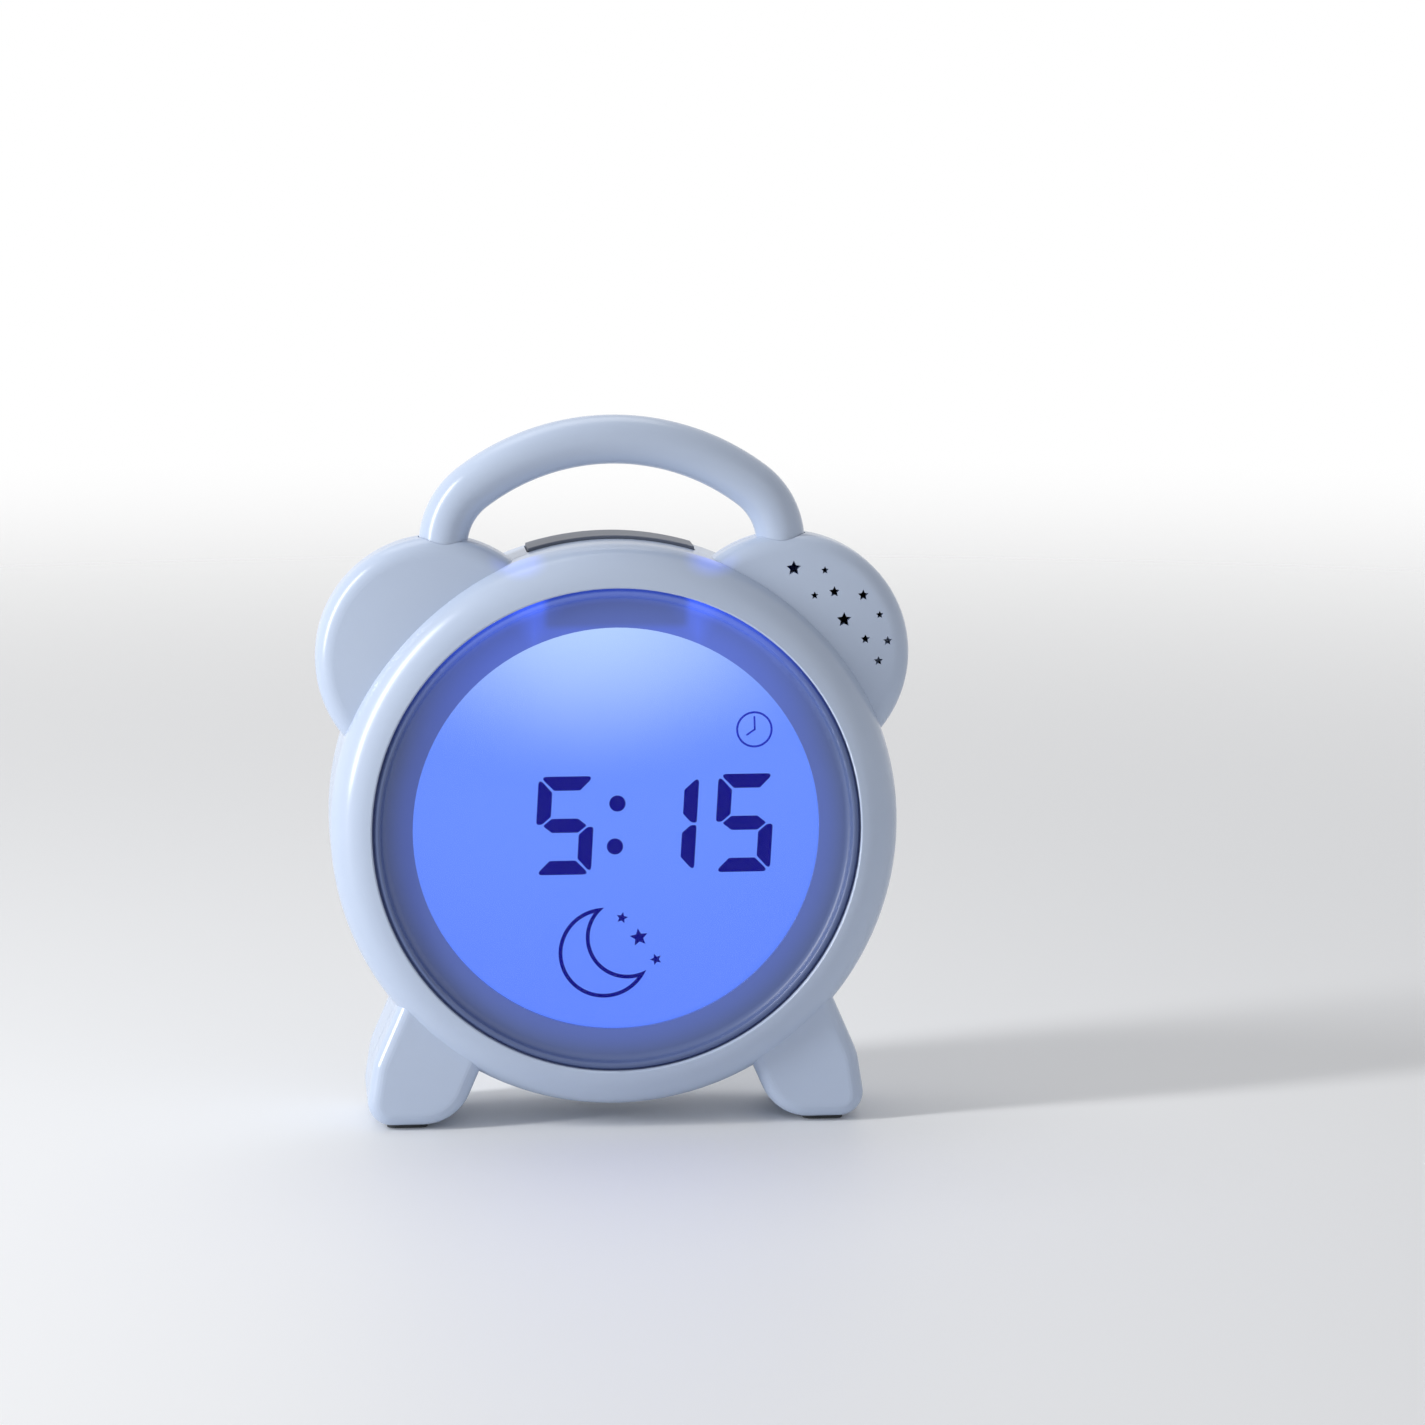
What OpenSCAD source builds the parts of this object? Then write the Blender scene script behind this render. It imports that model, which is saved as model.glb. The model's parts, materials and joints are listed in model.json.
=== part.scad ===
// Bedside alarm clock with a glowing dial: a drum on two splayed feet, two ears, a fixed
// carrying handle and a push bar on top.  The drum, ears and feet are a front and a rear
// moulding screwed together at the parting plane.
// Shapes are drawn as seen from the front: x to the right, y up from the drum's centre and
// z forward from the parting plane.  on_dial() stands them up in the clock's own frame.

/* [Drum] */
// Outer radius of the drum
case_r = 70; // [68:0.5:73]
// Reach of the front rim ahead of the parting plane
front_reach = 15.5; // [15:0.25:17]
// Reach of the flat back behind the parting plane
back_reach = 28.5; // [28:0.5:32]
// Radius of the front shoulder
shoulder_r = 10; // [9:0.5:11]
// Radius of the rear edge
back_edge_r = 12; // [10:0.5:13]
// Wall thickness of the two mouldings
wall = 2.2; // [1.8:0.1:2.5]
// Hairline left between the two mouldings
seam = 0.2; // [0.1:0.05:0.3]
// Height of the drum's underside above the table
drum_lift = 5; // [4:0.5:7]

/* [Ears] */
// Outer radius of an ear
ear_r = 30; // [28:0.5:32]
// How far an ear's centre lies inside the drum's outer radius
ear_sink = 10; // [8:0.25:11]
// Angle of an ear's centre from level
ear_angle = 44.09; // [43:0.01:46]
// Half of the straight band round an ear's rim
ear_band = 2.5; // [2:0.25:3.5]
// Radius of an ear's edge
ear_edge_r = 5; // [4.5:0.25:6]
// Slope of the ear's domed face where it meets the edge
ear_dome_slope = 8; // [6:0.5:10]

/* [Handle] */
// Thickness of the handle
handle_d = 12; // [11:0.5:12.5]
// How far a handle leg stands inside its ear's centre
handle_inset = 1.6; // [0.6:0.1:2.6]
// How far the arch's springing lies below the ear's top
handle_spring_drop = 2.75; // [0:0.25:3.5]
// Rise of the arch above its springing
handle_rise = 25.9; // [24:0.25:30]
// Bend radius at the handle's corners
handle_corner_r = 18; // [15:0.5:20]
// How far the leg's lower end lies below the ear's top
handle_end_drop = 6.15; // [5.85:0.05:6.45]
// Depth of the retaining groove round a leg
handle_groove = 1.2; // [0.8:0.1:1.6]
// Height of the retaining groove
handle_groove_h = 2; // [1.8:0.1:2.2]
// Thickness of the collar below the groove
handle_collar_t = 1.4; // [1.2:0.1:1.6]

/* [Feet] */
// Lean of a foot's outer edge
foot_outer_lean = 20.7; // [18:0.5:24]
// Lean of a foot's inner edge
foot_inner_lean = 23.4; // [20:0.5:26]
// How far the toe's rounding centre lies inside the drum's outer radius
toe_inset = 14.4; // [12:0.2:16]
// Radius of the outer toe
toe_r = 6; // [5:0.5:7]
// How far the heel's rounding centre lies inside the drum's outer radius
heel_inset = 22; // [20.5:0.25:23.5]
// Radius of the inner heel
heel_r = 12.5; // [10:0.5:14]
// Reach of a foot ahead of the parting plane
foot_front = 11.5; // [10:0.5:13]
// Reach of a foot behind the parting plane
foot_back = 21.5; // [18:0.5:24]
// Radius of a foot's front and back edges
foot_edge_r = 3.5; // [2.5:0.25:4]
// Wall thickness of a foot
foot_wall = 2.5; // [2:0.1:2.8]
// Thickness of the rubber foot pads
pad_t = 1; // [0.8:0.1:1.5]
// Width of a foot pad
pad_w = 10; // [8:0.5:11]

/* [Dial] */
// Width of the rim and bezel round the display
rim_w = 20; // [19.5:0.25:22]
// Recess of the lens behind the front rim
dial_recess = 4.6; // [4.2:0.1:5.2]
// Width of the groove round the bezel
groove_w = 0.5; // [0.3:0.05:0.8]
// Thickness of the bezel's inner edge
bezel_edge_t = 1.1; // [0.8:0.1:1.4]
// Rise of the bezel's face per millimetre of radius
bezel_slope = 0.08; // [0.04:0.01:0.12]
// Half thickness of the rounded crest round the bezel
crest_r = 0.8; // [0.6:0.05:1]
// How far the crest stays behind the front rim
crest_drop = 0.4; // [0.2:0.1:0.8]
// Thickness of the lens
lens_t = 1.5; // [1:0.1:2]
// Overlap of the lens behind the bezel's edge
lens_overlap = 2.5; // [2:0.25:3]
// How far the display glass reaches past the visible edge
lcd_lap = 2; // [1.5:0.25:2.5]
// Thickness of one sheet of display glass
glass_t = 1.1; // [0.7:0.1:1.3]
// Thickness of the light guide
guide_t = 3; // [2:0.25:3.5]
// How far the light guide reaches past the visible edge
guide_lap = 0.2; // [0:0.05:0.5]
// Clearance of the display frame inside the bezel's flange
frame_gap = 0.5; // [0.3:0.1:1.2]
// How far the main board stays inside its frame
board_inset = 2; // [1.5:0.25:3]
// Thickness of the circuit boards
board_t = 1.6; // [1:0.1:1.6]

/* [Screws] */
// Clearance of the housing bosses outside the bezel's flange
boss_gap = 0.2; // [0.1:0.05:0.4]
// Radius of a screw boss
boss_r = 3; // [2.7:0.1:3.1]
// Radius of the housing screws' shanks
screw_r = 1.3; // [1.1:0.05:1.5]
// Length of the housing screws' shanks
screw_len = 14; // [12:1:16]
// Depth of the screw seat behind the parting plane
screw_seat = 8; // [7:0.5:10]
// Angle of the upper housing screws from level
upper_screw_angle = 63.2; // [61:0.2:66]
// Angle of the lower housing screws below level
lower_screw_angle = 51; // [49:0.5:53]
// Angle of the display frame's lugs from level
lug_angle = 20; // [17:1:23]

/* [Push bar] */
// Half width of the push bar
bar_half_w = 20.5; // [18:0.5:21]
// Where the push bar starts behind the parting plane
bar_start = 3.1; // [2.8:0.1:4]
// Depth of the push bar from front to back
bar_depth = 12.6; // [11:0.2:13]
// How far the push bar stands proud of the drum
bar_proud = 0.8; // [0.6:0.1:1.2]
// Travel of the push bar
bar_travel = 0.6; // [0.4:0.1:0.8]
// Thickness of the push bar's inner flange
bar_flange_t = 1.2; // [1:0.1:1.4]

/* [Rear controls] */
// Radius of a rear button
key_r = 4.2; // [3.5:0.1:4.6]
// Distance between the rear buttons
key_pitch = 16; // [14:0.5:16.5]
// Place of the first rear button, as a share of the flat back's radius
key_start = 0.569; // [0.54:0.005:0.58]
// Height of the rear buttons above the battery door's surround
key_rise = 9.45; // [8.5:0.25:10.5]
// How far a rear button stands proud of the back
key_proud = 1; // [0.6:0.1:1.4]
// Travel of a rear button
key_travel = 0.4; // [0.3:0.05:0.5]
// Height of the slide switch above the rear buttons
slider_rise = 13; // [12.5:0.25:14]
// Half of the slide switch's travel
slider_half_travel = 2; // [1.5:0.25:2.5]
// Place of the power inlet, as a share of the flat back's radius
jack_place = 0.655; // [0.62:0.005:0.67]
// Bore radius of the power inlet
jack_bore_r = 2.8; // [2.6:0.05:3]
// Radius of the power inlet's centre pin
jack_pin_r = 1.03; // [0.93:0.05:1.18]

/* [Battery bay] */
// Radius of a cell
cell_r = 7.1; // [6.9:0.05:7.2]
// Length of a cell with its button
cell_len = 50.2; // [49.5:0.1:50.5]
// Distance between neighbouring cells
cell_pitch = 15.2; // [15:0.1:15.4]
// Height of the bay's centre against the drum's centre
bay_up = -12; // [-13:0.5:-11]
// Length of the bay
bay_len = 59; // [58:0.25:60]
// Thickness of the bay's walls
bay_wall = 1.5; // [1.2:0.1:1.8]
// Thickness of the battery door
door_t = 2; // [1.6:0.1:2.1]
// Width of the ledge under the door's edge
door_ledge = 1.8; // [1.4:0.1:2.2]
// Running gap round the door
door_gap = 0.3; // [0.2:0.05:0.4]

/* [Speaker] */
// How far the speaker stands outside its ear's centre
speaker_out = 12.9; // [12.4:0.1:13.4]
// How far the speaker stands above its ear's centre
speaker_rise = 7.25; // [6.75:0.05:7.75]
// Radius of the speaker
speaker_r = 12; // [11:0.25:12.2]
// Depth of the speaker behind its rim
speaker_depth = 7.4; // [6.5:0.1:7.6]

/* [Hidden] */
$fn = 96;

eps = 0.01;
far = 200;
part_y = (front_reach - back_reach - key_proud) / 2;
ring_up = case_r + drum_lift;
floor_up = pad_t - ring_up;
function to_twentieth(v) = round(v * 20) / 20;
ear_x = to_twentieth((case_r - ear_sink) * cos(ear_angle));
ear_up = to_twentieth((case_r - ear_sink) * sin(ear_angle));
handle_x = ear_x - handle_inset;
handle_spring_up = ear_up + ear_r - handle_spring_drop;
handle_end_up = ear_up + ear_r - handle_end_drop;
toe_x = case_r - toe_inset;
heel_x = case_r - heel_inset;
speaker_x = ear_x + speaker_out;
speaker_up = ear_up + speaker_rise;

// Dial stack, each as a distance ahead of the parting plane
screen_r = case_r - rim_w;
lip_r = case_r - shoulder_r;
lens_front = front_reach - dial_recess;
lens_back = lens_front - lens_t;
bezel_back = lens_front + 0.3;
bezel_r = lip_r - groove_w;
bezel_flange_r = lip_r + 1;
boss_ring_r = bezel_flange_r + boss_gap + boss_r;
frame_r = bezel_flange_r - frame_gap;
board_r = frame_r - board_inset;
lcd_across = 2 * (screen_r + lcd_lap);
guide_across = 2 * (screen_r + guide_lap);
bezel_edge_front = lens_front + bezel_edge_t;
crest_front = front_reach - crest_drop;
crest_in_r = bezel_r - 2 * crest_r;
cove_r = (crest_front - crest_r - bezel_edge_front - bezel_slope * (crest_in_r - screen_r))
    / (1 - bezel_slope);
lens_r = screen_r + lens_overlap;
stack_gap = 0.2;
lcd_front = lens_back - stack_gap;
lcd_back = lcd_front - 2 * glass_t;
lcd_gap = 0.02;
guide_front = lcd_back - stack_gap;
guide_back = guide_front - guide_t;
rest_lip_t = 1.5;
board_front = guide_back - rest_lip_t;
board_back = board_front - board_t;
pocket_gap = 0.2;

// Rear stack, each as a distance behind the parting plane
cell_z = -(back_reach - door_t - 0.45 - cell_r);
bay_h = 3 * cell_pitch + 0.9;
bay_floor = cell_z + cell_r + 0.4;
bay_front = bay_floor + bay_wall;
door_inner = -(back_reach - door_t);
ledge_t = 2;
back_inner = -(back_reach - wall);
ledge_lap = 1.5;
door_half_w = bay_len / 2 + door_ledge;
door_low = bay_up - bay_h / 2 - door_ledge;
door_high = bay_up + bay_h / 2 + door_ledge;
tongue_r = 5.5;
tongue_rise = 1.5;
tongue_up = door_high + tongue_rise;

// Rear controls, placed above the battery door on the flat of the back
flat_r = case_r - back_edge_r;
key_up = tongue_up + tongue_r + ledge_lap + key_rise;
slider_up = key_up + slider_rise;
key_x = to_twentieth(-key_start * flat_r);
jack_x = to_twentieth(jack_place * flat_r);
upper_post_x = to_twentieth(0.431 * flat_r);

button_clear = 0.3;
key_flange_r = key_r + 1.1;
key_flange_t = 1;
key_flange_back = back_inner + button_clear;
key_stem_end = key_flange_back + key_flange_t + 0.4;
tact_stem_tip = key_stem_end + key_travel + button_clear;
tact_body = 3.4;
tact_stem = 0.8;
key_board_back = tact_stem_tip + tact_stem + tact_body;
key_board_front = key_board_back + board_t;

frame_flat = 0.3;
frame_top_up = frame_r - frame_flat;
light_board_t = 1.2;
bar_mid_z = -(bar_start + bar_depth / 2);
bar_flange_top_r = case_r - wall - button_clear;

// ---- helpers ----

module on_dial() {
    translate([0, part_y, ring_up]) rotate([90, 0, 0]) children();
}

// Both sides of the clock's middle plane
module both_sides() {
    children();
    mirror([1, 0, 0]) children();
}

// Same shape behind the parting plane instead of ahead of it
module behind() {
    mirror([0, 0, 1]) children();
}

// Solid cylinder between two distances from the parting plane
module rod(r, back, front) {
    translate([0, 0, back]) cylinder(r = r, h = front - back);
}

// Octagonal plate with a flat on top
module octagon(across, back, front) {
    translate([0, 0, back]) rotate([0, 0, 22.5])
        cylinder(r = across / 2 / cos(22.5), h = front - back, $fn = 8);
}

// Box given by its middle and half width, its low and high edge, back and front
module slab(half_w, low, high, back, front) {
    translate([-half_w, low, back]) cube([2 * half_w, high - low, front - back]);
}

// Rectangle with round corners
module round_rect(w, low, high, r) {
    translate([-w / 2 + r, low]) square([w - 2 * r, high - low]);
    translate([-w / 2, low + r]) square([w, high - low - 2 * r]);
    for (x = [-w / 2 + r, w / 2 - r], y = [low + r, high - r])
        translate([x, y]) circle(r, $fn = 48);
}

// Pan-head screw with its shank pointing forward from its seat
module pan_screw(shank_r, length) {
    head_r = shank_r * 2;
    head_t = shank_r * 1.3;
    difference() {
        rotate_extrude($fn = 48) {
            translate([0, -eps]) square([shank_r, length + eps]);
            translate([0, -head_t]) square([head_r - head_t / 2, head_t]);
            translate([0, -head_t / 2]) square([head_r, head_t / 2]);
            intersection() {
                translate([head_r - head_t / 2, -head_t / 2]) circle(head_t / 2);
                translate([0, -head_t]) square([head_r, head_t]);
            }
        }
        for (turn = [0, 90]) rotate([0, 0, turn])
            slab(shank_r * 0.9, -shank_r * 0.22, shank_r * 0.22, -head_t - 1, -head_t * 0.45);
    }
}

// ---- outer forms ----

// Half section of the drum, set in from its surface; x is radius and y is forward
module drum_section(inset) {
    translate([0, back_edge_r - back_reach])
        square([case_r - inset, back_reach - back_edge_r + front_reach - shoulder_r]);
    translate([0, inset - back_reach])
        square([case_r - back_edge_r, back_reach + front_reach - 2 * inset]);
    square([lip_r, front_reach - inset]);
    translate([lip_r, front_reach - shoulder_r]) circle(shoulder_r - inset);
    translate([case_r - back_edge_r, back_edge_r - back_reach]) circle(back_edge_r - inset);
}

module drum(inset, back, front) {
    rotate_extrude($fn = 180) intersection() {
        drum_section(inset);
        translate([0, back]) square([far, front - back]);
    }
}

// Section of half an ear from the parting plane to its domed face
module ear_section(inset) {
    dome_r = ear_edge_r + (ear_r - ear_edge_r) / sin(ear_dome_slope);
    dome_centre = ear_band - (dome_r - ear_edge_r) * cos(ear_dome_slope);
    edge_x = ear_r - ear_edge_r;
    join_x = edge_x + (ear_edge_r - inset) * sin(ear_dome_slope);
    square([ear_r - inset, ear_band]);
    intersection() {
        translate([edge_x, ear_band]) circle(ear_edge_r - inset);
        translate([edge_x - eps, 0]) square(far);
    }
    intersection() {
        translate([0, dome_centre]) circle(dome_r - inset, $fn = 720);
        square([join_x, far]);
    }
}

module ear(inset) {
    translate([ear_x, ear_up, 0]) rotate_extrude($fn = 128) ear_section(inset);
}

// A foot has two leaning sides, a small toe and a big heel
toe = [toe_x, floor_up + toe_r];
heel = [heel_x, floor_up + heel_r];
outer_normal = [cos(foot_outer_lean), sin(foot_outer_lean)];
inner_normal = -[cos(foot_inner_lean), sin(foot_inner_lean)];
down = [0, -1];
outer_len = 34;
inner_len = 16;
outer_root = toe + outer_len * [-outer_normal[1], outer_normal[0]];
inner_root = heel + inner_len * [inner_normal[1], -inner_normal[0]];

// Inside outline of a foot's hollow, set in from its edge
module foot_outline(inset) {
    polygon([
        toe + (toe_r - inset) * outer_normal, outer_root + (toe_r - inset) * outer_normal,
        inner_root + (heel_r - inset) * inner_normal, heel + (heel_r - inset) * inner_normal,
        heel + (heel_r - inset) * down, toe + (toe_r - inset) * down]);
    intersection() {
        translate(toe) circle(toe_r - inset);
        polygon([toe, toe + far * outer_normal, toe + far * (outer_normal + down),
            toe + far * down]);
    }
    intersection() {
        translate(heel) circle(heel_r - inset);
        polygon([heel, heel + far * inner_normal, heel + far * (inner_normal + down),
            heel + far * down]);
    }
}

// Post with a rounded front edge, as stands at each corner of a foot
module foot_post(place, r, depth) {
    translate([place[0], place[1], 0]) rotate_extrude($fn = 48) intersection() {
        union() {
            square([r, depth - foot_edge_r]);
            square([max(r - foot_edge_r, eps), depth]);
            translate([r - foot_edge_r, depth - foot_edge_r]) circle(foot_edge_r, $fn = 32);
        }
        square(far);
    }
}

// One half of a foot, from the parting plane to its rounded face
module foot(depth) {
    hull() {
        foot_post(toe, toe_r, depth);
        foot_post(heel, heel_r, depth);
        foot_post(outer_root, toe_r, depth);
        foot_post(inner_root, heel_r, depth);
    }
}

module foot_cavity(depth) {
    translate([0, 0, -eps]) linear_extrude(depth - foot_wall + eps) foot_outline(foot_wall);
}

// Round hole that a handle leg passes through
module leg_hole(r) {
    translate([handle_x, handle_end_up - button_clear, 0]) rotate([-90, 0, 0])
        cylinder(r = r, h = 30);
}

// Rib that stands in the groove of a handle leg
groove_low = handle_end_up + handle_collar_t;
groove_high = groove_low + handle_groove_h;
rib_gap = 0.15;
rib_half_w = 9;

module leg_rib(depth) {
    difference() {
        intersection() {
            translate([handle_x - rib_half_w, groove_low + rib_gap, 0])
                cube([2 * rib_half_w, groove_high - groove_low - 2 * rib_gap, depth]);
            ear(wall / 2);
        }
        leg_hole(handle_d / 2 - handle_groove + rib_gap);
        drum(0, -far, far);
    }
}

// ---- front moulding ----

// Place and reach of each star, from the ear's centre
star_spots = [
    [0.9, 21.75, 1.9], [8.6, 21.15, 1.0], [6.0, 15.05, 1.0], [10.9, 15.85, 1.4],
    [18.1, 14.85, 1.4], [22.2, 9.95, 1.0], [13.3, 8.95, 1.9], [18.6, 4.05, 1.2],
    [24.2, 3.45, 1.2], [21.9, -1.45, 1.2]];

// Five-pointed star with the given reach
module star(reach) {
    inner = 0.5;
    polygon([for (i = [0:9]) let (r = i % 2 == 0 ? reach : reach * inner)
        [r * sin(36 * i), r * cos(36 * i)]]);
}

// Sound holes in the right ear, cut from well below its face
star_base = 4;

module sound_holes() {
    for (s = star_spots) translate([ear_x + s[0], ear_up + s[1], star_base])
        linear_extrude(far) star(s[2]);
}

speaker_front = 2.5;
speaker_rim_t = 1.5;
speaker_gap = 0.2;

// Wall and ledge that hold the speaker against the front of its ear
module speaker_seat() {
    seat_r = speaker_r + speaker_gap;
    seat_wall = 1.2;
    ledge_w = 1.4;
    intersection() {
        translate([speaker_x, speaker_up, 0]) difference() {
            rod(seat_r + seat_wall, speaker_front - speaker_rim_t, far);
            rod(speaker_r - ledge_w, -far, 2 * far);
            rod(seat_r, -far, speaker_front);
        }
        ear(wall / 2);
    }
}

// Boss inside the front moulding, from the parting plane to the shoulder
module front_boss(base, hole_r, hole_top) {
    translate([boss_ring_r, 0, 0]) difference() {
        rod(boss_r, base, shoulder_floor(boss_ring_r - boss_r) + wall / 2);
        rod(hole_r, base - 1, hole_top);
    }
}

// Inner face of the shoulder at a distance from the drum's axis
function shoulder_floor(r) = front_reach - shoulder_r
    + sqrt(pow(shoulder_r - wall, 2) - pow(max(r - lip_r, 0), 2));

lug_t = 1.5;
lug_back = board_front;
hole_gap = 0.05;

// The four housing screws and the four lugs of the display frame, round the drum's axis
module at_screws() {
    for (a = [upper_screw_angle, 180 - upper_screw_angle, -lower_screw_angle,
            180 + lower_screw_angle])
        rotate([0, 0, a]) children();
}

module at_lugs() {
    for (a = [lug_angle, 180 - lug_angle, -lug_angle, 180 + lug_angle])
        rotate([0, 0, a]) children();
}

module front_bosses() {
    intersection() {
        union() {
            at_screws() front_boss(0, screw_r + hole_gap, screw_len - screw_seat + 1);
            at_lugs() front_boss(lug_back + lug_t + seam, frame_screw_r + hole_gap,
                lug_back + frame_screw_len + 1);
        }
        drum(wall / 2, -1, front_reach);
    }
}

module front_shell() {
    lip_soft = 0.5;
    color("#e9edf2") on_dial() {
        difference() {
            union() {
                drum(0, 0, front_reach);
                both_sides() ear(0);
                both_sides() foot(foot_front);
            }
            drum(wall, -1, front_reach);
            rod(lip_r, -1, front_reach + 1);
            rotate_extrude() difference() {
                translate([lip_r - 1, front_reach - lip_soft]) square([1 + lip_soft, 1]);
                translate([lip_r + lip_soft, front_reach - lip_soft]) circle(lip_soft, $fn = 32);
            }
            both_sides() {
                translate([0, 0, -eps]) ear(wall);
                foot_cavity(foot_front);
                leg_hole(handle_d / 2 + rib_gap);
            }
            sound_holes();
        }
        both_sides() leg_rib(ear_band + ear_edge_r);
        difference() {
            speaker_seat();
            sound_holes();
        }
        front_bosses();
    }
}

// ---- rear moulding ----

// Tube from the back to the screw seat, with the boss that meets the front moulding
well_r = screw_r * 2 + 0.5;
well_wall = 1.3;
well_floor_t = 1.6;

module screw_well() {
    translate([boss_ring_r, 0, 0]) {
        rod(boss_r, -screw_seat, -seam);
        rod(well_r + well_wall, -far, -screw_seat + well_floor_t);
    }
}

module screw_well_bore() {
    translate([boss_ring_r, 0, 0]) {
        rod(screw_r + 0.2, -far, 1);
        rod(well_r, -far, -screw_seat);
    }
}

// Outline of the battery door: a rectangle with a round tongue for its screw

module door_outline(grow) {
    round_rect(2 * (door_half_w + grow), door_low - grow, door_high + grow, 3 + grow);
    translate([0, tongue_up]) circle(tongue_r + grow, $fn = 64);
}

tab_x = 14;
tab_half_w = 4;
tab_reach = 2.2;
tab_room = 0.8;
tab_t = 1.2;

module tab_slots() {
    for (x = [-tab_x, tab_x]) translate([x, 0, 0])
        slab(tab_half_w + door_gap, door_low - tab_reach - tab_room, door_low + door_ledge + eps,
            back_inner - 2 * eps, door_inner + ledge_t + 3);
}

door_boss_r = 3.6;
door_screw_r = 1.2;
door_hole_gap = 0.9;
saddle_x = 16;
saddle_half_h = 2;

// Bay walls, floor, door ledge and the boss for the door's screw
module battery_bay() {
    difference() {
        union() {
            slab(bay_len / 2 + bay_wall, bay_up - bay_h / 2 - bay_wall,
                bay_up + bay_h / 2 + bay_wall, back_inner, bay_front);
            slab(door_half_w + ledge_lap, door_low - tab_reach - tab_room - 1,
                door_high + ledge_lap, back_inner - eps, door_inner + ledge_t);
            translate([0, tongue_up, 0])
                rod(tongue_r + ledge_lap, back_inner - eps, door_inner + ledge_t);
            translate([0, tongue_up, 0]) rod(door_boss_r, back_inner, bay_front);
        }
        slab(bay_len / 2, bay_up - bay_h / 2, bay_up + bay_h / 2, -far, bay_floor);
        translate([0, tongue_up, 0]) rod(door_screw_r + door_hole_gap, -far, bay_front - 2);
    }
    // saddles between the cells
    saddle_base = cell_z + sqrt(pow(cell_r, 2) - pow(cell_pitch / 2 - saddle_half_h - 0.3, 2));
    for (n = [-1, 1], x = [-saddle_x, saddle_x])
        translate([x, bay_up + n * cell_pitch / 2, 0])
            slab(0.75, -saddle_half_h, saddle_half_h, saddle_base, bay_floor + eps);
}

// Window in the drum's wall that the push bar stands in
module bar_window() {
    slab(bar_half_w + button_clear, lip_r, far, -(bar_start + bar_depth + button_clear),
        -(bar_start - button_clear));
}

key_count = 4;
function key_at(i) = key_x + i * key_pitch;
slider_x = 0;
slider_nub_w = 5;
jack_body_r = 4.6;

module rear_openings() {
    for (i = [0:key_count - 1]) translate([key_at(i), key_up, 0])
        rod(key_r + button_clear, -far, back_inner + 1);
    translate([slider_x, slider_up, 0])
        slab(slider_nub_w / 2 + slider_half_travel + button_clear, -1.8, 1.8, -far, back_inner + 1);
    translate([jack_x, key_up, 0]) rod(jack_body_r + 0.2, -far, back_inner + 1);
}

post_out = 8.5;
post_drop = 6.5;
post_rise = 3;
post_spots = [[key_x - post_out, key_up - post_drop], [jack_x + post_out, key_up - post_drop],
    [-upper_post_x, slider_up + post_rise], [upper_post_x, slider_up + post_rise]];
post_r = 2.4;
post_screw_r = 0.9;

module key_board_posts() {
    for (p = post_spots) translate([p[0], p[1], 0]) difference() {
        rod(post_r, back_inner - eps, key_board_back);
        rod(post_screw_r + hole_gap, key_board_back - 5, key_board_back + 1);
    }
}

module rear_shell() {
    color("#e4e8ee") on_dial() {
        difference() {
            union() {
                drum(0, -back_reach, -seam);
                behind() both_sides() difference() {
                    union() {
                        ear(0);
                        foot(foot_back);
                    }
                    rod(far, -1, seam);
                }
            }
            difference() {
                union() {
                    drum(wall, -back_reach, 1);
                    behind() both_sides() {
                        translate([0, 0, -eps]) ear(wall);
                        foot_cavity(foot_back);
                    }
                }
                at_screws() screw_well();
            }
            both_sides() leg_hole(handle_d / 2 + rib_gap);
            at_screws() screw_well_bore();
            bar_window();
            rear_openings();
            linear_extrude(2 * back_reach, center = true) door_outline(door_gap);
        }
        difference() {
            battery_bay();
            translate([0, 0, -back_reach - 1]) linear_extrude(1 + door_t) door_outline(door_gap);
            tab_slots();
        }
        behind() both_sides() translate([0, 0, seam]) leg_rib(ear_band + ear_edge_r - seam);
        key_board_posts();
    }
}

// ---- handle ----

// Arch of two corner bends and one flat crown, all tangent to each other
crown_drop = (pow(handle_x - handle_corner_r, 2) - pow(handle_rise - handle_corner_r, 2))
    / (2 * (handle_rise - handle_corner_r));
crown_r = handle_rise + crown_drop;
crown_angle = atan((handle_x - handle_corner_r) / crown_drop);

module handle_leg() {
    leg_len = handle_spring_up - handle_end_up;
    translate([handle_x, handle_end_up, 0]) rotate([-90, 0, 0]) difference() {
        cylinder(r = handle_d / 2, h = leg_len);
        translate([0, 0, groove_low - handle_end_up]) difference() {
            cylinder(r = handle_d, h = groove_high - groove_low);
            cylinder(r = handle_d / 2 - handle_groove, h = groove_high - groove_low);
        }
    }
}

module carry_handle() {
    core_r = handle_d / 2 - 0.1;
    color("#e9edf2") on_dial() {
        both_sides() {
            handle_leg();
            translate([handle_x - handle_corner_r, handle_spring_up, 0]) {
                rotate_extrude(angle = 90 - crown_angle) translate([handle_corner_r, 0])
                    circle(handle_d / 2, $fn = 64);
                // core that ties the corner bend to the crown
                rotate([0, 0, 90 - crown_angle]) translate([handle_corner_r, 0, 0])
                    rotate([90, 0, 0]) cylinder(r = core_r, h = 0.6, center = true, $fn = 64);
            }
        }
        translate([0, handle_spring_up - crown_drop, 0])
            rotate_extrude(angle = 2 * crown_angle, start = 90 - crown_angle, $fn = 180)
                translate([crown_r, 0]) circle(handle_d / 2, $fn = 64);
    }
}

// ---- dial ----

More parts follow.
